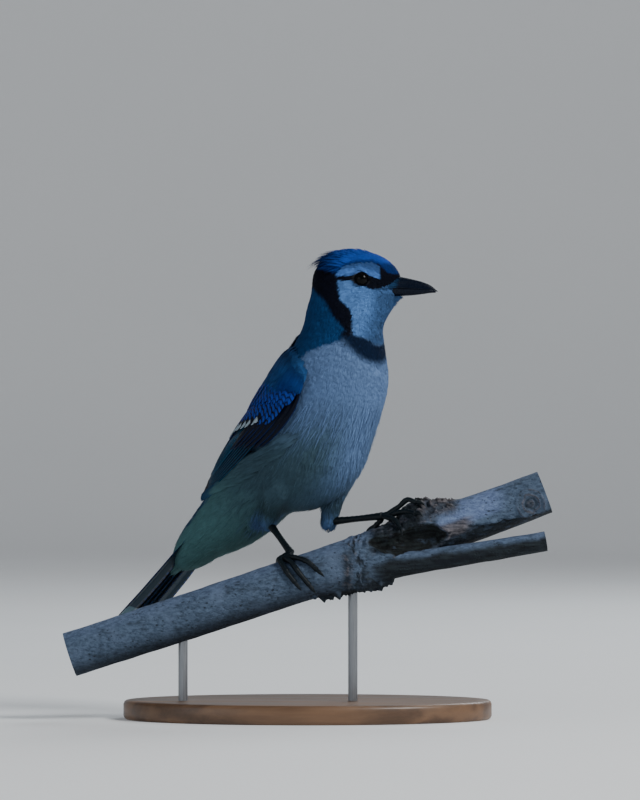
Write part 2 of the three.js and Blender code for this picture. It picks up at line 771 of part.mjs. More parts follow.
const group = new THREE.Group();
group.add(
  meshOf("head", skull, BLUE),
  meshOf("neck", above(below(WHOLE, HEAD_CUT), NECK_CUT), BLUE),
  meshOf("torso", above(below(WHOLE, NECK_CUT), RUMP_CUT), GREY),
  meshOf("rump", below(WHOLE, RUMP_CUT), WHITE),
  meshOf("bill_upper", billHalf(CULMEN, 1, 0).subtract(nostrils).subtract(HEAD_GROWN), HORN),
  meshOf("bill_lower", billHalf(GONYS, 0.9, 1).subtract(HEAD_GROWN), HORN),
  meshOf("eye_left", ball(eyeCentre(1), EYE_RADIUS, 14), EYE_BLACK),
  meshOf("eye_right", ball(eyeCentre(-1), EYE_RADIUS, 14), EYE_BLACK),
  meshOf("wing_left", wing(1), BLUE),
  meshOf("wing_right", wing(-1), BLUE),
  meshOf("tail", tail().subtract(GROWN), BLUE),
  ...legPieces("left", LEGS.left),
  ...legPieces("right", LEGS.right),
  meshOf("perch_branch", BRANCH, BARK),
  meshOf("perch_limb", sideLimb().subtract(branch(GAP)), BARK),
  meshOf("stand_base", base(), WOOD),
  meshOf("stand_rod_left", rod(ROD_PLACES.left), STEEL),
  meshOf("stand_rod_right", rod(ROD_PLACES.right), STEEL),
);
group.position.set(PERCH_SHIFT.x, PERCH_SHIFT.y, 0);
export default group;
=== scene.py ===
# %% [markdown]
# # A blue jay on a cut branch, life size
# The solids give every size. This lesson dresses them: one skin under the plumage, a coat of small
# feathers over it, long vanes for wings and tail, horn, scaled feet, bark, and a plain stand.
# Lengths are worked out in millimetres in the branch's own frame and turned into metres at the end.

# %% The frame and the tools
import math
import bpy
import numpy as np
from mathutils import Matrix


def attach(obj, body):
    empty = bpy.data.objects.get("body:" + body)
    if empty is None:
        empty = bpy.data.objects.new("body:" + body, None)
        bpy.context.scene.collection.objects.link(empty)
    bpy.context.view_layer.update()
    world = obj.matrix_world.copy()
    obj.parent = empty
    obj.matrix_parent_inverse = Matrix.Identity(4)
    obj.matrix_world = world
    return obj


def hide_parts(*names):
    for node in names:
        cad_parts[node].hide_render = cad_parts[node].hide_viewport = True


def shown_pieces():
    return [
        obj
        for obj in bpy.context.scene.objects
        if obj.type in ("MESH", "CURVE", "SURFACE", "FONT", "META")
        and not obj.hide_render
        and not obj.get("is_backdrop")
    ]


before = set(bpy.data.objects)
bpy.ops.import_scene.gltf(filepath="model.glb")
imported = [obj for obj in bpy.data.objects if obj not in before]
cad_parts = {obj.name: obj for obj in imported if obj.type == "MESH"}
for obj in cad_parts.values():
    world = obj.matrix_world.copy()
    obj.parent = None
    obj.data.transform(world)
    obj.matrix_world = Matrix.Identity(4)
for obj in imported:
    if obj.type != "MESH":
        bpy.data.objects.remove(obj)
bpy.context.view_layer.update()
print("solids loaded:", len(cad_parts))

# %% [markdown]
# ## Camera, floor and light
# The photograph was taken level with the bird through a long lens, so the camera stands three metres off
# and looks straight along +Y. A pale sheet serves as floor and backdrop, and large lamps give soft light.

# %% Camera, floor and light
BRANCH_SHIFT = np.array([-4.0, -12.0, 0.0])  # from the branch's own frame to the middle of the base
PICTURE = (640, 800)  # the photograph in pixels
ZERO_PIXEL = (300, 720)  # where the branch's own frame starts in it
SCALE = 0.53  # millimetres to a pixel of the photograph at the bird
CAMERA_FAR = 3000.0
SENSOR = 36
MIDDLE = ((PICTURE[0] / 2 - ZERO_PIXEL[0]) * SCALE, (ZERO_PIXEL[1] - PICTURE[1] / 2) * SCALE)


def row(points):
    return (np.asarray(points, float) + BRANCH_SHIFT) * 0.001


camera = bpy.data.objects.new("camera", bpy.data.cameras.new("camera"))
bpy.context.scene.collection.objects.link(camera)
camera.location = row([MIDDLE[0], -CAMERA_FAR, MIDDLE[1]])
camera.rotation_euler = (math.pi / 2, 0, 0)
camera.data.sensor_width = SENSOR
camera.data.lens = SENSOR * CAMERA_FAR / (PICTURE[1] * SCALE)
camera.data.clip_end = 50
bpy.context.scene.camera = camera


def lamp(name, place, aim, size, watts, colour):
    """A square soft lamp that faces a point."""
    data = bpy.data.lights.new(name, "AREA")
    data.size = size
    data.energy = watts
    data.color = colour
    thing = bpy.data.objects.new(name, data)
    bpy.context.scene.collection.objects.link(thing)
    thing.location = place
    way = thing.location - type(thing.location)(aim)
    thing.rotation_euler = way.to_track_quat("Z", "Y").to_euler()
    return thing


AIM = (0.0, 0.0, 0.15)
lamp("key_lamp", (1.45, -1.15, 1.55), AIM, 0.8, 46, (1.0, 0.99, 0.97))
lamp("fill_lamp", (-1.6, -1.6, 0.7), AIM, 1.4, 7, (0.85, 0.93, 1.0))
lamp("rim_lamp", (0.9, 1.5, 1.4), AIM, 1.0, 20, (0.90, 0.96, 1.0))
world = bpy.data.worlds.new("studio")
world.use_nodes = True
world.node_tree.nodes["Background"].inputs["Color"].default_value = (0.80, 0.86, 0.95, 1)
world.node_tree.nodes["Background"].inputs["Strength"].default_value = 0.24
bpy.context.scene.world = world
print("camera lens:", round(camera.data.lens, 1), "mm")

# %% [markdown]
# ## Materials as arithmetic
# Each finish is a node tree. A value that flows through it can be added and multiplied like a number, and
# one method makes any other node, so a pattern reads as a formula.

# %% A small language for finishes
class Value:
    """A number or colour inside a finish."""

    def __init__(self, finish, socket):
        self.finish = finish
        self.socket = socket

    def math(self, operation, *others):
        return self.finish.node("ShaderNodeMath", [self, *others], operation=operation)

    def __add__(self, other):
        return self.math("ADD", other)

    def __mul__(self, other):
        return self.math("MULTIPLY", other)

    def __sub__(self, other):
        return self.math("SUBTRACT", other)

    def __rsub__(self, other):
        return self.finish.node("ShaderNodeMath", [other, self], operation="SUBTRACT")

    __radd__ = __add__
    __rmul__ = __mul__

    def step(self, low, high):
        """0 below low and 1 above high, eased between."""
        return self.finish.node("ShaderNodeMapRange", [self, low, high], interpolation_type="SMOOTHSTEP")

    def part(self, index):
        """One coordinate of a vector or one channel of a colour."""
        return self.finish.node("ShaderNodeSeparateXYZ", [self], output=index)


class Finish:
    """A material and its shader, whose steady numbers are set by name."""

    def __init__(self, name, **steady):
        self.material = bpy.data.materials.new(name)
        self.material.use_nodes = True
        self.tree = self.material.node_tree
        self.shader = self.tree.nodes["Principled BSDF"]
        for label, number in steady.items():
            self.shader.inputs[label.replace("_", " ")].default_value = number

    def feed(self, value, socket):
        if isinstance(value, Value):
            self.tree.links.new(value.socket, socket)
        elif isinstance(value, tuple) and len(value) == 3 and socket.type == "RGBA":
            socket.default_value = (*value, 1)
        else:
            socket.default_value = value

    def node(self, kind, inputs=(), output=0, **settings):
        made = self.tree.nodes.new(kind)
        for label, setting in settings.items():
            setattr(made, label, setting)
        pairs = inputs.items() if isinstance(inputs, dict) else enumerate(inputs)
        for label, value in pairs:
            self.feed(value, made.inputs[label])
        return Value(self, made.outputs[output])

    def place(self, stretch=(1, 1, 1)):
        """Object coordinates in metres, stretched along the axes."""
        at = self.node("ShaderNodeTexCoord", output=3)
        return self.node("ShaderNodeVectorMath", [at, stretch], operation="MULTIPLY")

    def noise(self, size, detail=3, at=None, rough=0.55):
        """Mottling about as large as size, in metres."""
        inputs = {"Vector": at or self.place(), "Scale": 1 / size, "Detail": detail, "Roughness": rough}
        return self.node("ShaderNodeTexNoise", inputs)

    def attribute(self, name, output=0):
        return self.node("ShaderNodeAttribute", attribute_name=name, output=output)

    def map(self, name):
        return self.node("ShaderNodeUVMap", uv_map=name)

    def blend(self, share, first, second, mode="MIX"):
        inputs = {0: share, 6: first, 7: second}
        return self.node("ShaderNodeMix", inputs, output=2, data_type="RGBA", blend_type=mode)

    def shaded(self, colour, shade):
        """A colour times a number."""
        grey = self.node("ShaderNodeCombineColor", [shade, shade, shade])
        return self.blend(1.0, colour, grey, "MULTIPLY")

    def paint(self, colour=None, roughness=None, height=None, depth=0.0001, strength=1.0):
        """Sends the finished values to the shader. height is in units of depth, in metres."""
        if colour is not None:
            self.feed(colour, self.shader.inputs["Base Color"])
        if roughness is not None:
            self.feed(roughness, self.shader.inputs["Roughness"])
        if height is not None:
            inputs = {"Strength": strength, "Distance": depth, "Height": height}
            self.feed(self.node("ShaderNodeBump", inputs), self.shader.inputs["Normal"])
        return self.material


backdrop_finish = Finish("backdrop", Roughness=0.9, Emission_Strength=0.10)
cloud = backdrop_finish.noise(0.6, 2)
backdrop_paper = backdrop_finish.paint(
    backdrop_finish.blend(cloud, (0.70, 0.72, 0.73), (0.78, 0.79, 0.80)),
    height=backdrop_finish.noise(0.004, 3),
    depth=0.0002,
)
print("finish language ready")

# %% [markdown]
# ## Meshes from arrays
# Thousands of feathers are quickest as one array of points and one of faces. Each helper returns arrays in
# millimetres, and one function turns them into a mesh in metres.

# %% Mesh helpers
UP = np.array([0.0, 0.0, 1.0])


def unit(v):
    return v / np.maximum(np.linalg.norm(v, axis=-1, keepdims=True), 1e-9)


def dot(a, b):
    return np.sum(a * b, axis=-1, keepdims=True)


def ease(value, low, high):
    t = np.clip((np.asarray(value, float) - low) / (high - low), 0, 1)
    return t * t * (3 - 2 * t)


def fall(value, low, high):
    return 1 - ease(value, low, high)


def band(value, start, full, fading, end):
    """0 before start and after end, and 1 from full to fading."""
    return ease(value, start, full) * fall(value, fading, end)


def within(value, middle, full, none):
    """1 as far as full from the middle, and 0 from none on."""
    return ease(-np.abs(value - middle), -none, -full)


def hump(value, width):
    return np.exp(-((value / width) ** 2))


def most(*values):
    return np.maximum.reduce(values)


def mix(a, b, t):
    a = np.asarray(a)
    return a + (np.asarray(b) - a) * t


def stations(values):
    """Evenly spaced values as a function of 0 to 1."""
    values = np.asarray(values, float)
    places = np.linspace(0, 1, len(values))
    return lambda t: np.interp(t, places, values)


def curve(points):
    """A smooth line through points, as a function of 0 to 1."""
    knots = np.asarray(points, float)
    padded = np.vstack([2 * knots[0] - knots[1], knots, 2 * knots[-1] - knots[-2]])
    gaps = np.sqrt(np.linalg.norm(np.diff(padded, axis=0), axis=1))

    def at(t):
        s = np.clip(np.asarray(t, float), 0, 1) * (len(knots) - 1)
        i = np.minimum(s.astype(int), len(knots) - 2)
        w = (s - i)[..., None]
        x0, x1, x2, x3 = (padded[i + k] for k in range(4))
        d0, d1, d2 = (gaps[i + k][..., None] for k in range(3))
        m1 = d1 * ((x1 - x0) / d0 - (x2 - x0) / (d0 + d1) + (x2 - x1) / d1)
        m2 = d1 * ((x2 - x1) / d1 - (x3 - x1) / (d1 + d2) + (x3 - x2) / d2)
        return x1 + w * (m1 + w * (3 * (x2 - x1) - 2 * m1 - m2 + w * (2 * (x1 - x2) + m1 + m2)))

    return at


def slope(at, t):
    return unit(at(np.minimum(t + 1e-3, 1)) - at(np.maximum(t - 1e-3, 0)))


def new_piece(name, points, faces, material, slot, maps=None, colours=None):
    """One mesh object from points in millimetres and a list of arrays of faces."""
    mesh = bpy.data.meshes.new(name)
    groups = [group for group in faces if len(group)]
    sizes = np.concatenate([np.full(len(group), group.shape[1]) for group in groups])
    corners = np.concatenate([group.ravel() for group in groups]).astype(np.int32)
    mesh.vertices.add(len(points))
    mesh.vertices.foreach_set("co", row(points).ravel())
    mesh.loops.add(len(corners))
    mesh.loops.foreach_set("vertex_index", corners)
    mesh.polygons.add(len(sizes))
    starts = np.concatenate([[0], np.cumsum(sizes)[:-1]]).astype(np.int32)
    mesh.polygons.foreach_set("loop_start", starts)
    mesh.polygons.foreach_set("use_smooth", np.ones(len(sizes), bool))
    for label, values in (maps or {}).items():
        layer = mesh.uv_layers.new(name=label)
        layer.data.foreach_set("uv", values[corners].ravel())
    for label, values in (colours or {}).items():
        layer = mesh.attributes.new(label, "FLOAT_COLOR", "POINT")
        layer.data.foreach_set("color", values.ravel())
    mesh.update()
    mesh.validate()
    mesh.materials.append(material)
    thing = bpy.data.objects.new(name, mesh)
    bpy.context.scene.collection.objects.link(thing)
    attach(thing, "root")
    return thing


def grid_faces(rows, columns, closed=False, start=0, flip=False):
    """Quads of a grid of points, row by row, joined round if closed."""
    i, j = np.meshgrid(np.arange(rows - 1), np.arange(columns if closed else columns - 1), indexing="ij")
    a = start + i * columns + j
    b = start + i * columns + (j + 1) % columns
    quads = np.stack([a, b, b + columns, a + columns], -1).reshape(-1, 4)
    return quads[:, ::-1] if flip else quads


def fan(hub, start, sides, flip=False):
    """Triangles between a ring of points and its hub."""
    here = start + np.arange(sides)
    after = start + (np.arange(sides) + 1) % sides
    ring = [after, here] if flip else [here, after]
    return np.stack([*ring, np.full(sides, hub)], -1)


def capped(rings, sides, hubs=None):
    """Rings of points closed by a hub at each end: the middle of its ring, if no hubs are given."""
    if hubs is None:
        hubs = [rings[:sides].mean(0), rings[-sides:].mean(0)]
    rows = len(rings) // sides
    total = rows * sides
    ends = [fan(total, 0, sides, flip=True), fan(total + 1, total - sides, sides)]
    return np.vstack([rings, hubs]), [grid_faces(rows, sides, closed=True), *ends]


def turned_over(faces):
    return [group[:, ::-1] for group in faces]


def join_parts(parts):
    """Stacks (points, faces) parts, faces being lists of arrays, into one."""
    points = []
    faces = []
    count = 0
    for part_points, part_faces in parts:
        points.append(part_points)
        faces.extend(group + count for group in part_faces)
        count += len(part_points)
    return np.vstack(points), faces


def tube(path, radius, steps, sides, wide=1.0, bump=None):
    """A round limb along a curve, closed at both ends."""
    t = np.linspace(0, 1, steps)
    centre = path(t)
    along = slope(path, t)
    side = np.cross(UP, along)
    side = unit(np.where(np.linalg.norm(side, axis=1, keepdims=True) < 0.2, np.cross([1, 0, 0], along), side))
    top = np.cross(along, side)
    angle = np.linspace(0, 2 * np.pi, sides, endpoint=False)
    r = radius(t)[:, None] * np.ones(sides)
    if bump is not None:
        r = r + bump(t[:, None], angle[None, :])
    ring = (
        centre[:, None]
        + (r * np.cos(angle) * wide)[..., None] * side[:, None]
        + (r * np.sin(angle))[..., None] * top[:, None]
    )
    return capped(ring.reshape(-1, 3), sides, centre[[0, -1]])


def hashed(cells, seed):
    """A steady random number from 0 to 1 for each whole-number cell."""
    h = (cells[..., 0] * 374761393 + cells[..., 1] * 668265263 + cells[..., 2] * 2147483647 + seed * 144269)
    h = (h ^ (h >> 13)) * 1274126177
    h = h ^ (h >> 16)
    return (h & 0xFFFFFF) / float(0xFFFFFF)


def rumple(points, size, seed=0, octaves=3):
    """Smooth noise from -1 to 1 over points, its largest waves about as long as size."""
    total = np.zeros(points.shape[:-1])
    weight = 0.0
    for octave in range(octaves):
        at = points / size * 2**octave
        cell = np.floor(at).astype(np.int64)
        w = at - cell
        w = w * w * (3 - 2 * w)
        value = 0
        for corner in range(8):
            step = np.array([corner & 1, corner >> 1 & 1, corner >> 2 & 1])
            share = np.prod(np.where(step, w, 1 - w), axis=-1)
            value = value + share * hashed(cell + step, seed + octave * 17)
        total += (value * 2 - 1) * 0.5**octave
        weight += 0.5**octave
    return total / weight


print("noise where the branch's frame starts:", rumple(np.zeros((1, 3)), 1.0).round(2))

# %% [markdown]
# ## Backdrop
# Pale paper lies under the model and sweeps up into a low round wall wider than the camera's distance, so
# that every side of the model is seen before the same plain ground.

# %% Backdrop
PAPER = {"rings": [0.4, 1.2, 2.4], "flat": 3.4, "sweep": 0.8, "wall": 1.3, "bends": 24, "sides": 96}  # metres
bend = np.radians(np.linspace(0, 90, PAPER["bends"]))
bend_out = PAPER["flat"] + PAPER["sweep"] * np.sin(bend)
bend_up = PAPER["sweep"] * (1 - np.cos(bend))
paper_out = [*PAPER["rings"], *bend_out, PAPER["flat"] + PAPER["sweep"]]
paper_up = [*np.zeros(len(PAPER["rings"])), *bend_up, PAPER["wall"]]
angle = np.linspace(0, 2 * np.pi, PAPER["sides"], endpoint=False)
ring = np.stack([np.cos(angle), np.sin(angle), 0 * angle], -1)
paper_rings = np.array(paper_out)[:, None, None] * ring + np.array(paper_up)[:, None, None] * UP
paper_points = np.vstack([paper_rings.reshape(-1, 3), [[0, 0, 0]]]) * 1000 - BRANCH_SHIFT
middle_fan = fan(len(paper_points) - 1, 0, PAPER["sides"])
paper_faces = [grid_faces(len(paper_out), PAPER["sides"], closed=True, flip=True), middle_fan]
backdrop = new_piece("backdrop", paper_points, paper_faces, backdrop_paper, "base_wood")
backdrop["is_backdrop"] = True
print("backdrop faces:", len(backdrop.data.polygons))

# %% [markdown]
# ## The flesh as a field
# The body is a few egg-shaped masses that run softly into each other, the same ones that the solids were cut
# from. The field says how far a point is from their surface, which is enough to lay skin and feathers on it.

# %% The flesh field
BODY_YAW = -36.0
HEAD_YAW = -8.0
NECK_AXIS = np.array([20.0, 6.0])
BODY_BLEND = 11.0
HEAD_BLEND = 5.5
BODY_MASSES = [
    (-3, 177, (35, 28, 29), 64, BODY_YAW),
    (-18.5, 149, (40, 31, 33), 60, BODY_YAW),
    (-51, 123, (42, 23, 19.5), 46, BODY_YAW),
    (-79, 102.5, (36, 15, 12.5), 40, BODY_YAW),
    (3.4, 207, (25, 17.5, 20.2), 74, -22.0),
]
HEAD_MASSES = [
    (7, 232.6, (20.5, 13, 16.5), 4, HEAD_YAW),
    (21.2, 235.6, (13, 8.3, 9.4), -25, HEAD_YAW),
    (14, 221, (14, 12.5, 11), 50, HEAD_YAW),
    (19.4, 219.0, (13.2, 8.5, 8.4), 46, HEAD_YAW),
    (-2.3, 217, (16, 11.5, 13.3), 80, HEAD_YAW),
]


def place(forward, left, height, yaw=BODY_YAW):
    """A point forward of, left of and above the floor on the neck's upright line, turned by a yaw."""
    forward, left, height, turn = np.broadcast_arrays(forward, left, height, np.radians(yaw))
    x = NECK_AXIS[0] + np.cos(turn) * forward - np.sin(turn) * left
    y = NECK_AXIS[1] + np.sin(turn) * forward + np.cos(turn) * left
    return np.stack([x, y, height], -1).astype(float)


def heading(forward, left, up, yaw=BODY_YAW):
    return unit(place(forward, left, up, yaw) - place(0, 0, 0, yaw))


def on_head(forward, left, height):
    return place(forward, left, height, HEAD_YAW)


def mass_distance(points, forward, height, halves, pitch, yaw):
    lean = math.radians(pitch)
    axis = heading(math.cos(lean), 0, math.sin(lean), yaw)
    side = unit(np.cross(UP, axis))
    back = np.cross(axis, side)
    u = (points - place(forward, 0, height, yaw)) @ np.stack([axis, side, back], 1) / halves
    near = np.maximum(np.linalg.norm(u, axis=-1), 1e-6)
    return near * (near - 1) / np.maximum(np.linalg.norm(u / halves, axis=-1), 1e-9)


def soft_min(a, b, softness):
    share = np.clip(0.5 + 0.5 * (b - a) / softness, 0, 1)
    return b + (a - b) * share - softness * share * (1 - share)


def blended(points, masses, softness):
    total = mass_distance(points, *masses[0])
    for mass in masses[1:]:
        total = soft_min(total, mass_distance(points, *mass), softness)
    return total


LEGS = {
    "right": {
        "knee": place(-24.5, -19, 124),
        "thigh": [8.5, 7, 5.2, 4.5, 3.8],
        "ankle": np.array([-16.6, 23, 104]),
        "sole": np.array([-5.0, 1, 88.6]),
        "toes": [
            [(-1.5, 74), (2.5, 54), (6.8, 32), (9.6, 9)],
            [(-3.5, 74), (-1.4, 46), (0.8, 14), (3.6, -18)],
            [(-6, 76), (-6, 50), (-4.6, 20), (-2.8, -2)],
            [(-6, 98), (-8, 122), (-10, 146), (-11, 166)],
        ],
    },
    "left": {
        "knee": place(-9.2, 11, 127),
        "thigh": [8.5, 7, 5.4, 4.8, 4.2],
        "ankle": np.array([15.4, 20, 104.6]),
        "sole": np.array([43.8, 1.5, 108]),
        "toes": [
            [(48, 0, 110), (52.5, -1.5, 113.2), (57, -3.5, 116.8), (61.5, -6, 115.4)],
            [(48, -1, 108.6), (52.5, -4, 110.2), (57, -7, 110.6), (61, -11.3, 109.6)],
            [(46.4, -2, 107.4), (49.4, -5.5, 106.6), (51.6, -8.6, 104.6), (52.6, -11.2, 102.2)],
            [(43, 3, 106), (41.6, 3.2, 104.4), (40.2, 3.2, 103), (38.8, 3, 101.9)],
        ],
    },
}
THIGH_BLEND = 2.6
THIGH_SHARES = np.linspace(0, 1, 15)


def thigh_line(leg):
    return curve([leg["knee"], mix(leg["knee"], leg["ankle"], 0.5), mix(leg["ankle"], leg["knee"], -0.04)])


THIGH_SPOTS = np.vstack([thigh_line(leg)(THIGH_SHARES) for leg in LEGS.values()])
THIGH_WAYS = np.vstack([slope(thigh_line(leg), THIGH_SHARES) for leg in LEGS.values()])
THIGH_SIZES = np.concatenate([stations(leg["thigh"])(THIGH_SHARES) for leg in LEGS.values()])


def thigh_distance(points):
    gap = np.full(points.shape[:-1], 1e3)
    for spot, size in zip(THIGH_SPOTS, THIGH_SIZES):
        gap = np.minimum(gap, np.linalg.norm(points - spot, axis=-1) - size)
    return gap


def trunk(points):
    """How far each point lies outside head, neck and body, in millimetres."""
    body = blended(points, BODY_MASSES, BODY_BLEND)
    return soft_min(body, blended(points, HEAD_MASSES, HEAD_BLEND), HEAD_BLEND)


def flesh(points):
    """The same with the thighs."""
    return soft_min(trunk(points), thigh_distance(points), THIGH_BLEND)


def on_thigh(points):
    """How much each point belongs to a thigh, its share down that thigh, and the way down it."""
    gaps = np.linalg.norm(points[:, None] - THIGH_SPOTS, axis=-1) - THIGH_SIZES
    near = np.argmin(gaps, axis=1)
    down = THIGH_SHARES[near % len(THIGH_SHARES)]
    near_heel = 3.5 * ease(down, 0.6, 0.95)
    gap = gaps[np.arange(len(points)), near] - near_heel
    weight = fall(gap, 0.5, 5) * ease(down, 0.05, 0.5)
    return weight, down, THIGH_WAYS[near]


def outward(points):
    """The way out of the body at each point."""
    step = 0.4
    pushed = [flesh(points + step * axis) - flesh(points - step * axis) for axis in np.eye(3)]
    return unit(np.stack(pushed, -1))


def settle(points, level, rounds=2):
    """Moves points straight in or out to a level of the field."""
    for _ in range(rounds):
        points = points + (level - flesh(points))[..., None] * outward(points)
    return points


HEAD_CENTRE = on_head(8, 0, 232)
SPINE_PLACES = [(-104, 85), (-76, 103), (-48, 124), (-24, 149), (-6, 177), (3, 203)]
SPINE = curve([*(place(f, 0, h) for f, h in SPINE_PLACES), HEAD_CENTRE])
SPINE_SHARES = np.linspace(0, 1, 161)
SPINE_POINTS = SPINE(SPINE_SHARES)


def reach(start, ways, level):
    """How far along each way the field reaches a level."""
    near = np.zeros(len(ways))
    far = np.full(len(ways), 70.0)
    for _ in range(22):
        middle = (near + far) / 2
        inside = trunk(start + ways * middle[:, None]) < level
        near = np.where(inside, middle, near)
        far = np.where(inside, far, middle)
    return near


def spine_share(points):
    """The nearest share of the spine to each point."""
    shares = [
        SPINE_SHARES[np.argmin(((chunk[:, None] - SPINE_POINTS[None]) ** 2).sum(-1), axis=1)]
        for chunk in np.array_split(points, max(1, len(points) // 20000))
    ]
    return np.concatenate(shares)


def spine_axes(share):
    """Tail to head, towards the left wing, and towards the back, at shares of the spine."""
    along = slope(SPINE, share)
    yaw = mix(BODY_YAW, HEAD_YAW, ease(share, 0.72, 1))
    side = heading(0, 1, 0, yaw)
    side = unit(side - along * dot(side, along))
    return along, side, np.cross(along, side)


def spine_angle(points, share):
    """The angle round the spine: 0 at the back, 90 at the left, 180 at the belly."""
    _, side, back = spine_axes(share)
    off = points - SPINE(share)
    return np.degrees(np.arctan2(dot(off, side)[:, 0], dot(off, back)[:, 0])) % 360


END_LEAN = 86  # degrees by which the last rings at tail and crown lean along the spine


def body_rings(level, rows, around, fan_rings):
    """Points of a closed skin round the spine, ring by ring from the tail end to the crown."""
    shares = np.concatenate([np.zeros(fan_rings), np.linspace(0, 1, rows), np.ones(fan_rings)])
    tail_leans = np.linspace(-END_LEAN, -END_LEAN / fan_rings, fan_rings)
    crown_leans = np.linspace(END_LEAN / fan_rings, END_LEAN, fan_rings)
    tilts = np.radians(np.concatenate([tail_leans, np.zeros(rows), crown_leans]))
    angle = np.linspace(0, 2 * np.pi, around, endpoint=False)
    along, side, back = (np.repeat(axis, around, 0) for axis in spine_axes(shares))
    turn = np.tile(angle, len(shares))[:, None]
    tilt = np.repeat(tilts, around)[:, None]
    ways = (back * np.cos(turn) + side * np.sin(turn)) * np.cos(tilt) + along * np.sin(tilt)
    starts = np.repeat(SPINE(shares), around, 0)
    return starts + ways * reach(starts, ways, level)[:, None]


print("flesh at the breast:", round(float(flesh(place(20, 0, 160)[None])[0]), 1), "mm")

# %% [markdown]
# ## Markings and painted light
# One function colours any point of the bird, so the skin below and every feather over it agree. Beside the
# real marks it paints shade on the belly, the upper thighs, the chin and along the mouth, and paints light
# down the middle of the belly. The edges are read in the bird's own side view, forward and up, and hold
# alike on both sides.

# %% Markings and painted light
AZURE = (0.008, 0.060, 0.34)
HEEL = (0.058, 0.115, 0.24)
SLATE = (0.004, 0.043, 0.140)
JET = (0.0006, 0.0016, 0.0075)
CHEEK = (0.080, 0.190, 0.44)
BROW = (0.048, 0.130, 0.36)
LILAC = (0.100, 0.172, 0.33)
# The belly's own grey, darkened by painted shade as if under the wing.
BELLY_IN_PAINTED_SHADE = (0.038, 0.074, 0.100)
VENT = (0.062, 0.150, 0.160)
COLLAR = (0.002, 0.010, 0.034)
RUMP = (0.010, 0.045, 0.100)

NECK_HEIGHT = 196
HEAD_HEIGHT = 224
MANTLE_HEIGHT = 150
FLANK_TURN = (58, 74)  # degrees from the back at which grey begins, at the tail and further up
CHIN = {"forward": 21, "height": 227}
GAPE = {"height": 228.4, "front": 26, "end": 32, "width": 0.8}
BRIDLE_FOOT = 203.5
BROW_ENDS = (0.6, 23.6)
BRIDLE_HEIGHTS = [203, 206, 213, 217.7, 222, 228, 232, 240]
BRIDLE_FRONT = [15, 14.7, 11.5, 9.2, 3.4, 1.8, 1.4, 0]
BRIDLE_REAR = [11, 11.6, 2, -2.4, -5.4, -12, -18, -20]
NECKLACE_TOP = ([8, 15, 22, 25, 30], [207.5, 204.5, 202, 198.5, 196])
NECKLACE_FOOT = ([8, 18.4, 24, 29.5, 34], [205, 196.4, 190.8, 186, 184])
MANTLE_EDGE = ([120, 150, 180, 190, 195, 201, 206], [-60, -22, -14, -9, -3.5, 12, 13])
BROW_TOP = ([0, 1.3, 4.1, 8.9, 19.4, 23.5], [236.6, 237, 240, 241.9, 242.6, 240.6])
BROW_FOOT = ([0, 1.3, 9, 14, 19.4, 24], [235, 235.2, 236, 237.2, 235, 233.6])
CHEEK_TOP = ([0, 1.3, 8.5, 11.2, 16, 20, 28], [233, 232.8, 232.4, 230.6, 229.6, 227.8, 230])
CROWN_FOOT = ([-16, -8, 0, 20, 23, 27.5, 32], [239.5, 238.6, 237, 241.6, 242.0, 237.0, 236.4])


def over(value, edge, soft=0.5):
    return ease(value, edge - soft, edge + soft)[..., None]


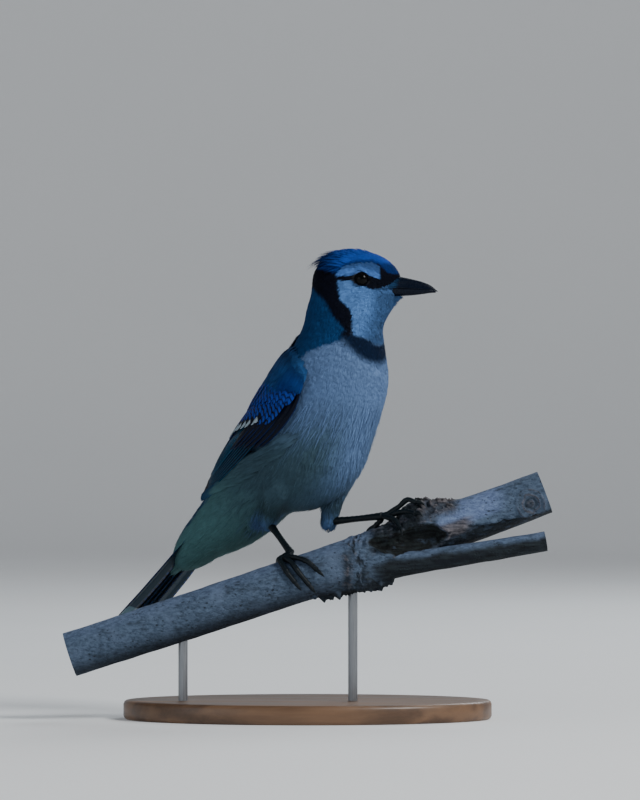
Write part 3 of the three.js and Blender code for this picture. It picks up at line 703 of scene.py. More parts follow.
def markings_and_painted_light(points, ragged=0.3):
    """The plumage's colour at each point, its edges broken up by about ragged millimetres."""
    share = spine_share(points)
    angle = spine_angle(points, share)
    turn = np.minimum(angle, 360 - angle)
    shake = rumple(points, 1.3, 5, 2) * ragged
    height = points[:, 2] + shake
    yaw = np.radians(mix(BODY_YAW, HEAD_YAW, ease(points[:, 2], 190, 222)))
    off = points[:, :2] - NECK_AXIS
    forward = np.cos(yaw) * off[:, 0] + np.sin(yaw) * off[:, 1] + rumple(points, 1.5, 9, 2) * ragged

    # Painted shade: below the breast the belly takes the darkened belly colour.
    under = mix(LILAC, BELLY_IN_PAINTED_SHADE, fall(points[:, 2], 138, 176)[:, None])
    under = mix(under, VENT, fall(share, 0.16, 0.42)[:, None])
    # Painted light: the middle of the belly, which faces the key lamp, is made lighter.
    middle = 0.8 * ease(turn, 138, 172) * ease(points[:, 2], 108, 140)
    under = mix(under, np.array(LILAC) * 1.15, middle[:, None])
    upper = mix(RUMP, SLATE, ease(share, 0.25, 0.5)[:, None])
    colour = mix(under, upper, over(-turn, -mix(*FLANK_TURN, ease(share, 0.2, 0.5)), 7))
    mantle = over(np.interp(points[:, 2], *MANTLE_EDGE), forward, 1.6) * over(points[:, 2], MANTLE_HEIGHT, 6)
    colour = mix(colour, SLATE, mantle)

    weight, down, _ = on_thigh(points)
    # Painted shade on the upper thigh, where it tucks under the belly.
    colour = colour * (1 - 0.45 * weight * fall(down, 0.6, 0.95))[:, None]
    colour = mix(colour, HEEL, (weight * ease(down, 0.6, 1.0))[:, None])

    on_neck = over(points[:, 2], NECK_HEIGHT, 4)
    front = np.interp(height, BRIDLE_HEIGHTS, BRIDLE_FRONT)
    rear = np.interp(height, BRIDLE_HEIGHTS, BRIDLE_REAR)
    throat = over(forward, front) * over(height, np.interp(forward, *NECKLACE_TOP), 0.7) * on_neck
    # Painted shade on the chin under the bill.
    chin = 0.55 * over(forward, CHIN["forward"], 4) * over(-points[:, 2], -CHIN["height"], 2)
    drawn_out = np.column_stack([height * 2.2 + forward * 1.1, forward * 0.35, points[:, 1]])
    streaks = 1 + 0.35 * rumple(drawn_out, 1.5, 15, 2)
    colour = mix(colour, np.array(CHEEK) * (1 - chin) * streaks[:, None], throat)
    # Painted shade along the mouth's crease behind the gape.
    gape_off = height - GAPE["height"] + 0.12 * (GAPE["front"] - forward)
    gape = 0.75 * hump(gape_off, GAPE["width"]) * ease(forward, 18, 24) * (forward < GAPE["end"])
    colour = mix(colour, COLLAR, gape[:, None] * throat)
    bridle = over(forward, rear, 1.6) * over(-forward, -front) * over(height, BRIDLE_FOOT)
    necklace = over(-height, -np.interp(forward, *NECKLACE_TOP), 0.7)
    necklace = necklace * over(height, np.interp(forward, *NECKLACE_FOOT), 2.6) * over(forward, 10, 1)
    colour = mix(mix(colour, COLLAR, necklace), JET, bridle)

    head = over(points[:, 2], HEAD_HEIGHT, 2)
    eye_line = over(height, np.interp(forward, *CHEEK_TOP), 0.4) * head
    colour = mix(colour, JET, eye_line * over(forward, -1))
    brow_top = np.interp(forward, *BROW_TOP)
    brow_foot = np.interp(forward, *BROW_FOOT)
    brow = over(height, brow_foot, 0.4) * over(-height, -brow_top, 0.4)
    brow = brow * over(forward, BROW_ENDS[0]) * over(-forward, -BROW_ENDS[1])
    low_brow = mix(1.5, 0.55, ease(height - brow_foot, 0.6, 5.2))[:, None]
    colour = mix(colour, np.array(BROW) * low_brow, brow)
    crown = over(height, np.interp(forward, *CROWN_FOOT), 0.5) * head * (1 - brow)
    beside_brow = ((forward > 0) & (forward < 24))[:, None]
    crown = crown * np.where(beside_brow, over(height, brow_top, 0.3), 1)
    nape_shade = mix(1, 0.28, ease(-forward, -7, 10))[:, None]
    edge_shade = 1 - 0.65 * fall(height - brow_top, 0.3, 2.8) * ease(forward, -2, 4)
    colour = mix(colour, np.array(AZURE) * nape_shade * edge_shade[:, None], crown)
    return np.clip(colour * (1 + 0.12 * rumple(points, 4.5, 3)[:, None]), 0, 1)


def with_alpha(colours):
    return np.hstack([colours, np.ones((len(colours), 1))])


print("crown:", markings_and_painted_light(on_head(5, 0, 249)[None]).round(3))

# %% [markdown]
# ## Skin
# Real skin lies a little inside the outline that feathers give. It is one closed mesh, thighs included, so
# that no seam shows, and its colour is that of the feathers over it.

# %% Skin
HEAD_DEPTH = 0.7
BODY_DEPTH = 1.7
THIGH_DEPTH = 0.9
SKIN_RINGS = {"along": 150, "around": 120, "ends": 22}
VOXEL = 0.0011


def coat_depth(points):
    weight = on_thigh(points)[0]
    return mix(mix(BODY_DEPTH, HEAD_DEPTH, ease(points[:, 2], 205, 226)), THIGH_DEPTH, weight)


def thigh_part(leg, shrink):
    radius = stations(leg["thigh"])
    return tube(thigh_line(leg), lambda t: np.maximum(radius(t) - shrink, 0.8), 30, 32)


ring_points = body_rings(0.0, SKIN_RINGS["along"], SKIN_RINGS["around"], SKIN_RINGS["ends"])
ring_points = settle(ring_points, -coat_depth(ring_points), 3)
thigh_parts = [thigh_part(leg, 1.1) for leg in LEGS.values()]
skin_points, skin_faces = join_parts([capped(ring_points, SKIN_RINGS["around"]), *thigh_parts])

skin_finish = Finish("skin", Roughness=0.85, Sheen_Weight=0.2)
skin_paint = skin_finish.paint(
    skin_finish.blend(1.0, skin_finish.attribute("Plumage"), (0.72, 0.72, 0.74), "MULTIPLY"),
    height=skin_finish.noise(0.0012, 3),
    depth=0.0003,
)
skin = new_piece("bird_skin", skin_points, skin_faces, skin_paint, "plumage_grey")
remesh = skin.modifiers.new("one skin", "REMESH")
remesh.mode = "VOXEL"
remesh.voxel_size = VOXEL
remesh.use_smooth_shade = True
smooth = skin.modifiers.new("even", "SMOOTH")
smooth.iterations = 6
smooth.factor = 0.5
evaluated = skin.evaluated_get(bpy.context.evaluated_depsgraph_get())
whole_skin = bpy.data.meshes.new_from_object(evaluated)
skin.modifiers.clear()
skin.data = whole_skin
if not whole_skin.materials:
    whole_skin.materials.append(skin_paint)


def mesh_points(mesh):
    """A mesh's points back in millimetres of the branch's frame."""
    flat = np.empty(len(mesh.vertices) * 3)
    mesh.vertices.foreach_get("co", flat)
    return flat.reshape(-1, 3) * 1000 - BRANCH_SHIFT


skin_places = mesh_points(whole_skin)
skin_places = settle(skin_places, -coat_depth(skin_places), 2)
whole_skin.vertices.foreach_set("co", row(skin_places).ravel())
whole_skin.update()
plumage = whole_skin.attributes.new("Plumage", "FLOAT_COLOR", "POINT")
plumage.data.foreach_set("color", with_alpha(markings_and_painted_light(skin_places)).ravel())
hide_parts("head", "neck", "torso", "rump", "leg_left_thigh", "leg_right_thigh")
print("skin points:", len(skin_places))

# %% [markdown]
# ## Feathers of the coat
# A contour feather is a small soft vane: whole near its root and broken into loose barbs at its tip. It
# leaves the skin, bends at once and lies back along the body over the next ones, like slates.

# %% The coat's feather
BILL_ROOT = on_head(30, 0, 230)
STEPS = 5  # points along a feather
FINGERS = 6  # loose ends of its tip
POINTS_AT = [FINGERS + 1, FINGERS + 1, FINGERS + 1, 2 * FINGERS, FINGERS]  # points at each step
BELONGS = np.repeat(np.arange(STEPS), POINTS_AT)
STEP_SHARES = np.array([0, 0.28, 0.55, 0.8, 1])  # how far along the feather each step is on its own map
PATCH = 0.003  # how wide a feather's patch is on the bake's map


def lie(points):
    """The way that feathers point: back from the bill over the head, then down the spine to the tail."""
    away = points - BILL_ROOT
    share = spine_share(points)
    down = -slope(SPINE, share)
    way = mix(unit(away), down, ease(np.linalg.norm(away, axis=1), 16, 44)[:, None])
    weight, _, down_leg = on_thigh(points)
    way = mix(way, down_leg, weight[:, None])
    out = outward(points)
    return unit(way - out * dot(way, out))


def unrolled(points):
    """Where points lie on the unrolled skin: round it across, and along it up."""
    share = spine_share(points)
    angle = spine_angle(points, share) / 360
    top = unit(points - SPINE(share))
    up = np.clip(dot(top, slope(SPINE, share))[:, 0], -1, 1)
    along = np.where((share > 0.99) | (share < 0.01), share + up * 0.12, share)
    return np.stack([0.02 + 0.96 * angle, 0.14 + 0.72 * along], -1)


def feather_parts(centres, outs, halves, curl, ragged, rng):
    """Points, faces and own map of many feathers. centres and outs have STEPS points a feather."""
    count = len(centres)
    along = unit(np.gradient(centres, axis=1))
    across = unit(np.cross(outs, along))
    outs = np.cross(along, across)
    columns = np.linspace(-1, 1, FINGERS + 1)

    def spots(step, sides):
        sides = np.broadcast_to(sides, (count, sides.shape[-1]))[..., None]
        half = halves[:, step, None, None]
        bend = -curl * sides**2 * half
        return centres[:, step, None] + across[:, step, None] * sides * half + outs[:, step, None] * bend

    web = [spots(step, columns) for step in range(3)]
    middle = (columns[1:] + columns[:-1]) / 2
    slack = rng.uniform(-0.1, 0.1, (count, FINGERS))
    narrow = 0.8 / FINGERS
    wrist_left = spots(3, middle * 0.95 + slack - narrow)
    wrist_right = spots(3, middle * 0.95 + slack + narrow)
    short = (0.3 * middle**2 + rng.uniform(0, ragged, (count, FINGERS)))[..., None]
    tips = spots(4, middle * 0.9 + slack * 2.2)
    tips = mix(tips, (wrist_left + wrist_right) / 2, np.clip(short, 0, 0.85))
    points = np.concatenate([*web, wrist_left, wrist_right, tips], axis=1)
    per = points.shape[1]
    wide = FINGERS + 1
    quads = [grid_faces(3, wide)]
    finger = np.arange(FINGERS)
    left = 3 * wide + finger
    right = left + FINGERS
    quads.append(np.stack([2 * wide + finger, 2 * wide + finger + 1, right, left], -1))
    quads = np.vstack(quads)
    ends = np.stack([left, right, right + FINGERS], -1)
    starts = (np.arange(count) * per)[:, None, None]
    across_map = np.concatenate([columns, columns, columns, middle - narrow, middle + narrow, middle])
    own = np.stack([across_map * 0.5 + 0.5, STEP_SHARES[BELONGS]], -1)
    faces = [(starts + quads).reshape(-1, 4), (starts + ends).reshape(-1, 3)]
    return points.reshape(-1, 3), faces, np.tile(own, (count, 1)), per


coat = Finish("contour_feathers", Specular_IOR_Level=0.12)  # barbs are fine ridges, the root is darker
own = coat.map("Vane")
side = own.part(0) * 2 - 1
along = own.part(1)
barbs = (side.math("ABSOLUTE") * 9 + along * 34).math("SINE") * 0.5 + 0.5
shaft = 1 - side.math("ABSOLUTE").step(0.0, 0.12)
# Painted shade: each feather is darker towards its root, where the feathers over it overlap.
depth = along.step(0.0, 0.75) * 0.45 + 0.55
shade = depth * (barbs * 0.10 + 0.92) * (shaft * -0.10 + 1)
coat_colour = coat.shaded(coat.attribute("Plumage"), shade)
down_paint = coat.paint(coat_colour, barbs * 0.1 + 0.78, height=barbs + shaft, depth=0.00006, strength=0.45)


def walk(roots, lengths, start_level, end_level, sway):
    """Paths of feathers that leave the skin at roots and lie back over the body."""
    path = [roots]
    way = lie(roots)
    out = outward(roots)
    side = np.cross(out, way)
    way = unit(way + side * sway[:, None])
    outs = [out]
    for step in range(1, STEPS):
        share = step / (STEPS - 1)
        level = mix(start_level, end_level, share**0.6)
        at = path[-1] + way * (lengths / (STEPS - 1))[:, None]
        at = settle(at, level, 1)
        out = outward(at)
        fresh = lie(at) if step < STEPS - 1 else way
        way = unit(way - out * dot(way, out))
        way = unit(mix(way, fresh, 0.35))
        path.append(at)
        outs.append(out)
    return np.stack(path, 1), np.stack(outs, 1)


def feather_paths(spot):
    """Paths of many feathers at once: spot gives their places at a share of their length."""
    return np.stack([spot(step / (STEPS - 1)) for step in range(STEPS)], 1)


def scattered(points, faces, spacing, rng):
    """Random places on a mesh of triangles, about one in each cell of that spacing."""
    a, b, c = (points[faces[:, k]] for k in range(3))
    area = np.linalg.norm(np.cross(b - a, c - a), axis=1) / 2
    count = int(area.sum() / spacing**2 * 7)
    pick = rng.choice(len(faces), count, p=area / area.sum())
    r = np.sqrt(rng.random((count, 1)))
    s = rng.random((count, 1))
    spots = a[pick] * (1 - r) + b[pick] * r * (1 - s) + c[pick] * r * s
    cells = np.floor(spots / (spacing * 0.92)).astype(np.int64)
    _, first = np.unique(cells, axis=0, return_index=True)
    return spots[first]


def coat_piece(name, centres, outs, halves, curl, ragged, rng, slot, tint=None, vary=0.07):
    """Makes one piece of coat, its colour that of the marks, painted shade and light under it, so edges stay
    soft.
    """
    points, faces, own, per = feather_parts(centres, outs, halves, curl, ragged, rng)
    if tint is None:
        spots = mix(centres, centres[:, 3:4], 0.45)
        colours = markings_and_painted_light(spots.reshape(-1, 3)).reshape(centres.shape)
    else:
        colours = np.repeat(tint[:, None], STEPS, axis=1)
    colours = colours * (1 + rng.uniform(-vary, vary, (len(colours), 1, 1)))
    colours = colours[:, BELONGS].reshape(-1, 3)
    patch = np.repeat(unrolled(centres[:, 0]), per, axis=0) + (own - 0.5) * PATCH
    piece = new_piece(
        name,
        points,
        faces,
        down_paint,
        slot,
        maps={"OFBake": patch, "Vane": own},
        colours={"Plumage": with_alpha(np.clip(colours, 0, 1))},
    )
    piece.data.uv_layers.active = piece.data.uv_layers["OFBake"]
    return piece


print("feather of", 3 * (FINGERS + 1) + 3 * FINGERS, "points")

# %% [markdown]
# ## Wing sheet
# A folded wing is a stack of vanes on one curved sheet, from the shoulder to the tip and from the edge along
# the back to the edge along the belly. The sheet is pushed out wherever the body would come through it.

# %% The folded wing's sheet
WING_EDGES = [
    [(-15.5, 6, 197), (-41, 6, 171.5), (-58.5, 6, 150), (-73.5, 5.5, 132), (-83.5, 5, 119.5)],
    [(-6, 21, 199), (-26, 27, 171), (-44, 28, 151), (-63, 20, 134.5), (-83.5, 8, 119)],
    [(0, 27, 190), (-5, 32, 165), (-21, 33, 147), (-48, 26, 131), (-83, 10.5, 117)],
]
WING_CLEAR = 1.2


def direction(forward, left, up):
    return place(forward, left, up) - place(0, 0, 0)


def wing_sheet(side):
    lines = [curve([place(f, side * l, h) for f, l, h in edge]) for edge in WING_EDGES]

    def spot(u, v, level):
        u, v, level = np.broadcast_arrays(np.asarray(u, float), v, level)
        a, b, c = (line(u) for line in lines)
        w = v[..., None]
        p = a * (1 - w) * (1 - 2 * w) + b * 4 * w * (1 - w) + c * w * (2 * w - 1)
        out = direction(0.1 - 0.55 * (1 - v), side * 0.6 * (0.2 + v), mix(0.75, 0.15, v))
        out = unit(out)
        short = np.zeros(u.shape)
        for _ in range(6):
            short = short + np.maximum(WING_CLEAR - flesh(p + out * short[..., None]), 0)
        return p + out * (short + level)[..., None]

    return spot


WINGS = {"left": wing_sheet(1), "right": wing_sheet(-1)}
sheet_u, sheet_v = np.meshgrid(np.linspace(0.1, 0.9, 24), np.linspace(0.12, 0.74, 11))
UNDER_WINGS = np.vstack([spot(sheet_u, sheet_v, 0).reshape(-1, 3) for spot in WINGS.values()])


def nearest(points, others):
    """The distance from each point to the nearest of the others."""
    parts = np.array_split(points, max(1, len(points) // 4000))
    return np.concatenate([np.sqrt(((part[:, None] - others[None]) ** 2).sum(-1).min(1)) for part in parts])


print("wing sheet samples:", len(UNDER_WINGS))

# %% [markdown]
# ## The coat
# Feathers are smallest round the bill and eyes and grow towards the belly and tail. Roots are scattered
# evenly over the skin, except under the wings and in the eyes, and the loosest feathers are on the flanks.

# %% The coat
rng = np.random.default_rng(7)
EYE = {"forward": 14.2, "height": 233.6, "left": 10.2, "radius": 3.9, "clear": 4.1, "bare": 4.6}
EYES = {"left": on_head(EYE["forward"], EYE["left"], EYE["height"])}
EYES["right"] = on_head(EYE["forward"], -EYE["left"], EYE["height"])
BANDS = [  # least and most distance from the bill's root, spacing, length, half width
    (0, 10, 0.62, 2.6, 0.42),
    (10, 22, 0.80, 4.4, 0.55),
    (22, 42, 1.05, 6.2, 0.85),
    (42, 70, 1.5, 8.4, 1.6),
    (70, 400, 2.0, 10.5, 2.3),
]
HEAD_BANDS = 3  # the first ones, on head and neck
WING_GAP = {"feather": 4.2, "filament": 3.5}

whole_skin.calc_loop_triangles()
skin_triangles = np.empty(len(whole_skin.loop_triangles) * 3, np.int32)
whole_skin.loop_triangles.foreach_get("vertices", skin_triangles)
skin_triangles = skin_triangles.reshape(-1, 3)
SKIN_CENTRES = skin_places[skin_triangles].mean(1)
HALF_SHAPE = np.array([0.45, 0.9, 1.0, 0.9, 0.7])
PIECE_TRIANGLES = 180000  # at most in one piece of coat
FEATHER_TRIANGLES = 42


def lay_coat(name, roots, lengths, widths, top, sway, slot, curl=0.16, ragged=0.5, tint=None, vary=0.07):
    """Lays feathers from their roots, leaves out those that would cross an eye, and makes the pieces."""
    depth = coat_depth(roots)
    centres, outs = walk(roots, lengths, -depth * 0.8, top, sway)
    eye_gaps = [np.linalg.norm(centres - eye, axis=2).min(1) for eye in EYES.values()]
    chosen = np.flatnonzero(np.min(eye_gaps, axis=0) > EYE["clear"])
    halves = widths[:, None] * HALF_SHAPE
    pieces = math.ceil(len(chosen) * FEATHER_TRIANGLES / PIECE_TRIANGLES)
    for part, some in enumerate(np.array_split(chosen, pieces)):
        paths = (centres[some], outs[some], halves[some])
        colours = None if tint is None else tint[some]
        coat_piece(f"{name}_{part}", *paths, curl, ragged, rng, slot, colours, vary)
    return len(chosen)


coat_count = 0
for number, (near, far, spacing, length, half) in enumerate(BANDS):
    gap = np.linalg.norm(SKIN_CENTRES - BILL_ROOT, axis=1)
    chosen = skin_triangles[(gap > near - 2) & (gap < far + 2)]
    roots = scattered(skin_places, chosen, spacing, rng)
    gap = np.linalg.norm(roots - BILL_ROOT, axis=1) + rng.uniform(-1.5, 1.5, len(roots))
    eye_gap = np.minimum(*(np.linalg.norm(roots - eye, axis=1) for eye in EYES.values()))
    keep = (gap > near) & (gap <= far) & (eye_gap > EYE["bare"]) & (on_thigh(roots)[0] < 0.35)
    roots = roots[keep & (nearest(roots, UNDER_WINGS) > WING_GAP["feather"])]
    share = spine_share(roots)
    count = len(roots)
    on_body = number == len(BANDS) - 1
    grown = 1 + 0.4 * fall(share, 0.05, 0.35) * on_body
    lengths = length * grown * rng.uniform(0.85, 1.15, count)
    loose = ease(-roots[:, 2], -165, -130) * on_body
    top = rng.uniform(0.05, 0.3, count) + loose * rng.uniform(0, 0.5, count)
    widths = half * rng.uniform(0.85, 1.2, count)
    slot = "plumage_blue" if number < HEAD_BANDS else "plumage_grey"
    sway = rng.normal(0, 0.08 + 0.10 * loose, count)
    vary = 0.16 if number < HEAD_BANDS else 0.06
    coat_count += lay_coat(f"coat_{number}", roots, lengths, widths, top, sway, slot, vary=vary)
print("contour feathers:", coat_count)

# %% [markdown]
# Smaller feathers clothe the thighs down to the heel, and loose filaments stand a little off belly, flanks
# and thighs, where the real plumage is downy.

# %% Thighs and loose filaments
chosen = skin_triangles[on_thigh(SKIN_CENTRES)[0] > 0.2]
roots = scattered(skin_places, chosen, 1.15, rng)
weight, down, _ = on_thigh(roots)
roots, down = roots[weight > 0.3], down[weight > 0.3]
count = len(roots)
lengths = mix(8.0, 3.4, down) * rng.uniform(0.85, 1.15, count)
top = rng.uniform(0.05, 0.5, count)
widths = mix(1.6, 0.8, down) * rng.uniform(0.85, 1.2, count)
thigh_count = lay_coat("coat_thighs", roots, lengths, widths, top, rng.normal(0, 0.12, count), "plumage_grey")

chosen = skin_triangles[(SKIN_CENTRES[:, 2] < 172) & (np.linalg.norm(SKIN_CENTRES - BILL_ROOT, axis=1) > 60)]
roots = scattered(skin_places, chosen, 2.3, rng)
share = spine_share(roots)
turn = spine_angle(roots, share)
roots = roots[(np.abs(turn - 180) < 105) & (nearest(roots, UNDER_WINGS) > WING_GAP["filament"])]
count = len(roots)
wisp_tint = markings_and_painted_light(roots) * rng.uniform(0.85, 1.35, (count, 1))
lengths = rng.uniform(9, 16, count) * mix(1, 0.6, on_thigh(roots)[0])
top = rng.uniform(0.4, 1.2, count)
swept = ease(roots[:, 0], -12, 4) * ease(-np.abs(roots[:, 2] - 129), -20, -10)
sway = rng.normal(0, 0.3, count) + 1.3 * swept
thin = np.full(count, 0.22)
wisps = lay_coat("filaments", roots, lengths, thin, top, sway, "plumage_grey", 0.0, 0.2, wisp_tint)
print("thigh feathers:", thigh_count, "filaments:", wisps)

# %% [markdown]
# ## Crest
# The jay's crest lies half down here: narrow pointed feathers from the crown, the hindmost standing off the
# nape as a ragged edge.

# %% Crest
def on_crown(back, tilt, level):
    back, tilt = np.radians(back), np.radians(tilt)
    ways = heading(np.cos(tilt) * np.cos(back), np.sin(tilt), np.cos(tilt) * np.sin(back), HEAD_YAW)
    return HEAD_CENTRE + ways * (reach(HEAD_CENTRE, ways, 0.0) + level)[..., None]


count = 420
start = mix(48, 126, rng.random(count) ** 0.7)
tilt = rng.uniform(-1, 1, count) * mix(20, 50, ease(start, 52, 100))
span = mix(24, 40, ease(start, 52, 110)) * rng.uniform(0.8, 1.1, count)
lift = mix(0.5, 4.6, ease(start, 74, 120)) * rng.uniform(0.3, 1.1, count)


def crest_spot(share):
    return on_crown(start + span * share, tilt * (1 - 0.12 * share), -0.4 + 1.3 * share + lift * share**2)


centres = feather_paths(crest_spot)
outs = unit(centres - HEAD_CENTRE)
halves = rng.uniform(0.75, 1.15, count)[:, None] * np.array([0.6, 1.0, 0.95, 0.6, 0.2])
coat_piece("crest_feathers", centres, outs, halves, 0.3, 0.35, rng, "plumage_blue", vary=0.15)
print("crest feathers:", count)

# %% [markdown]
# ## Vanes of wing and tail
# A flight feather is a shaft with a narrow outer and a wide inner web. The pattern follows the feather
# itself: bars across, a pale tip, a dark inner web, so each vane carries its own map and a few marks.

# %% Vanes
VANE_COLUMNS = np.array([-1, -0.66, -0.33, -0.07, 0.0, 0.07, 0.33, 0.66, 1.0])


def vanes_part(centres, across, outs, inner, outer, marks, thick=0.26, camber=0.12):
    """Closed thin vanes along paths of points: inner and outer are the web widths at each point."""
    count, steps = centres.shape[:2]
    s = VANE_COLUMNS
    wide = np.where(s < 0, inner[..., None] * -s, outer[..., None] * s) * np.sign(s)
    size = np.maximum(inner, outer)[..., None]
    rise = -camber * s**2 * size + 0.22 * hump(s, 0.1)
    swell = thick / 2 * (1 - s**8)
    flat = centres[:, :, None] + across[:, :, None] * wide[..., None]
    top = flat + outs[:, :, None] * (rise + swell)[..., None]
    low = flat + outs[:, :, None] * (rise - swell)[..., None]
    ring = np.concatenate([top, low[:, :, -2:0:-1]], axis=2)
    per_ring = ring.shape[2]
    per = steps * per_ring
    quads = grid_faces(steps, per_ring, closed=True)
    columns = len(s)
    j = np.arange(columns - 1)
    below = np.concatenate([[0], np.arange(per_ring - 1, columns - 1, -1), [columns - 1]])
    cap = np.stack([j, below[j], below[j + 1], j + 1], -1)
    far = (steps - 1) * per_ring
    caps = np.vstack([cap[1:-1], far + cap[1:-1, ::-1]])
    corners = np.array([[0, below[1], 1], [columns - 2, below[columns - 2], columns - 1]])
    corners = np.vstack([corners, far + corners[:, ::-1]])
    starts = (np.arange(count) * per)[:, None, None]
    faces = [(starts + np.vstack([quads, caps])).reshape(-1, 4), (starts + corners).reshape(-1, 3)]
    s_ring = np.concatenate([s, s[-2:0:-1]])
    under = np.concatenate([np.zeros(columns), np.ones(columns - 2)])
    grid = np.broadcast_to(s_ring, (steps, per_ring)) * 0.5 + 0.5
    along = np.broadcast_to(np.linspace(0, 1, steps)[:, None], (steps, per_ring))
    own = np.tile(np.stack([grid, along], -1).reshape(-1, 2), (count, 1))
    length = np.linalg.norm(np.diff(centres, axis=1), axis=2).sum(1)
    width = size[:, :, 0].max(1)
    scale = np.repeat(np.stack([length / 100, width / 10, marks[:, 3], np.ones(count)], -1), per, axis=0)
    ink = np.repeat(np.column_stack([marks[:, :3], np.zeros(count)]), per, axis=0)
    ink[:, 3] = np.tile(np.broadcast_to(under, (steps, per_ring)).ravel(), count)
    return ring.reshape(-1, 3), faces, own, ink, scale


def laid(spot, start, end, rise, steps):
    """Paths on a sheet between pairs of (u, v), with the ways across, towards greater v, and out."""
    t = np.linspace(0, 1, steps)
    u = start[:, :1] + (end - start)[:, :1] * t
    v = start[:, 1:] + (end - start)[:, 1:] * t
    centres = spot(u, v, rise)
    along = unit(np.gradient(centres, axis=1))
    out = unit(spot(u, v, rise + 1) - centres)
    sideways = spot(u, v + 0.02, rise) - centres
    across = np.cross(along, out)
    across = unit(across) * np.sign(dot(across, sideways))
    up = np.cross(across, along)
    return centres, across, unit(np.where(dot(up, out) > 0, 1, -1) * up)


def vane_finish(name, blue, edge, ink, below, period=2.9):
    """Blue webs with black bars, a pale tip, a dark inner web and a grey underside."""
    made = Finish(name, Specular_IOR_Level=0.12)
    own = made.map("Vane")
    side = own.part(0) * 2 - 1
    along = own.part(1)
    marks = made.attribute("Marks")
    size = made.attribute("Size")
    length = size.part(0) * 100
    away = side.math("ABSOLUTE")
    at = along * length
    seed = size.part(2)
    wobble = made.noise(0.004, 2) * 1.4
    wave = ((at - away * 1.6 + wobble + seed * 3) * (2 * math.pi / period)).math("SINE")
    bars = wave.step(0.15, 0.55) * marks.part(0)
    tip = marks.part(1) * 20
    to_tip = length - at
    pale = 1 - (to_tip + away * 1.2 - tip).step(-0.5, 0.3)
    before_tip = (1 - (to_tip - tip - 2.6).step(-0.4, 0.4)) * tip.step(0.1, 0.4)
    dark_web = (0.34 - side).step(0.0, 0.2) * marks.part(2).step(0.2, 0.4)
    dark_edge = (0.84 - side).step(-0.03, 0.06) * marks.part(2).step(0.6, 0.8)
    mottle = made.noise(0.0045, 3)
    colour = made.blend(mottle, blue, edge)
    colour = made.blend(bars.math("MAXIMUM", dark_web).math("MAXIMUM", dark_edge), colour, ink)
    colour = made.blend(before_tip, colour, ink)
    colour = made.blend(pale, colour, (0.34, 0.42, 0.48))
    barbs = ((at - away * size.part(1) * 6) * 9).math("SINE") * 0.5 + 0.5
    shaft = 1 - away.step(0.02, 0.07)
    colour = made.blend(shaft * 0.35, colour, ink)
    under = made.attribute("Marks", 3)
    dull = made.blend(1 - pale, (0.10, 0.19, 0.24), below)
    colour = made.blend(under.step(0.3, 0.7), colour, dull)
    colour = made.shaded(colour, barbs * 0.14 + 0.86)
    return made.paint(colour, roughness=barbs * 0.12 + 0.42, height=barbs + shaft * 2, depth=0.00006)


wing_paint = vane_finish("wing_vanes", (0.002, 0.020, 0.150), (0.010, 0.060, 0.46), JET, (0.05, 0.06, 0.08))
flight_paint = vane_finish(
    "flight_vanes", (0.001, 0.034, 0.085), (0.005, 0.095, 0.19), (0.0005, 0.004, 0.014), (0.02, 0.03, 0.04)
)
dark_paint = vane_finish(
    "dark_coverts", (0.001, 0.010, 0.050), (0.002, 0.020, 0.12), (0.0006, 0.002, 0.010), (0.02, 0.03, 0.04)
)
tail_paint = vane_finish(
    "tail_vanes", (0.010, 0.055, 0.26), (0.018, 0.09, 0.36), JET, (0.004, 0.028, 0.052), 3.4
)


def vane_piece(name, centres, across, outs, inner, outer, marks, paint, thick=0.26):
    points, faces, own, ink, scale = vanes_part(centres, across, outs, inner, outer, marks, thick)
    colours = {"Marks": ink, "Size": scale}
    return new_piece(name, points, faces, paint, "plumage_barred", maps={"Vane": own}, colours=colours)


def web(shape, tip):
    """A web's width along a feather: shape gives it, and the tip rounds off over its last share."""
    grow = stations(shape)
    return lambda t: grow(t) * np.sqrt(np.clip(1 - np.clip((t - 1 + tip) / tip, 0, 1) ** 2, 0.004, 1))


print("vane columns:", len(VANE_COLUMNS))

# %% [markdown]
# ## Wings
# The tiers of a folded wing overlap like tiles, from the small coverts of the shoulder down to the long
# primaries. In each tier the feather nearest the back lies on top.

# %% Wings
TIER_CORNERS = {  # on the wing's sheet: the first and the last root, the first and the last tip
    "primaries": [(0.42, 0.52), (0.46, 0.84), (0.90, 0.42), (1.0, 0.78)],
    "secondaries": [(0.36, 0.20), (0.4, 0.60), (0.82, 0.18), (0.87, 0.5)],
    "tertials": [(0.26, 0.05), (0.3, 0.26), (0.64, 0.05), (0.78, 0.2)],
    "primary_coverts": [(0.2, 0.66), (0.15, 0.98), (0.62, 0.64), (0.55, 0.98)],
    "greater_coverts": [(0.24, 0.06), (0.10, 0.86), (0.60, 0.08), (0.40, 0.84)],
    "median_coverts": [(0.12, 0.06), (0.085, 0.92), (0.40, 0.08), (0.25, 0.92)],
}
TIERS = {  # count, half width, level, (bars, pale tip, dark web), paint
    "primaries": (9, 3.0, 0.4, (0, 0, 1), flight_paint),
    "secondaries": (8, 3.8, 1.1, (0.5, 0, 0.5), flight_paint),
    "tertials": (3, 4.8, 1.9, (0.9, 0.1, 0), wing_paint),
    "primary_coverts": (7, 2.9, 1.7, (0, 0, 1), dark_paint),
    "greater_coverts": (11, 3.0, 2.2, (1, 0.33, 0), wing_paint),
    "median_coverts": (11, 3.1, 2.6, (0.8, 0, 0), wing_paint),
}
VANE_STEPS = 22
t = np.linspace(0, 1, VANE_STEPS)
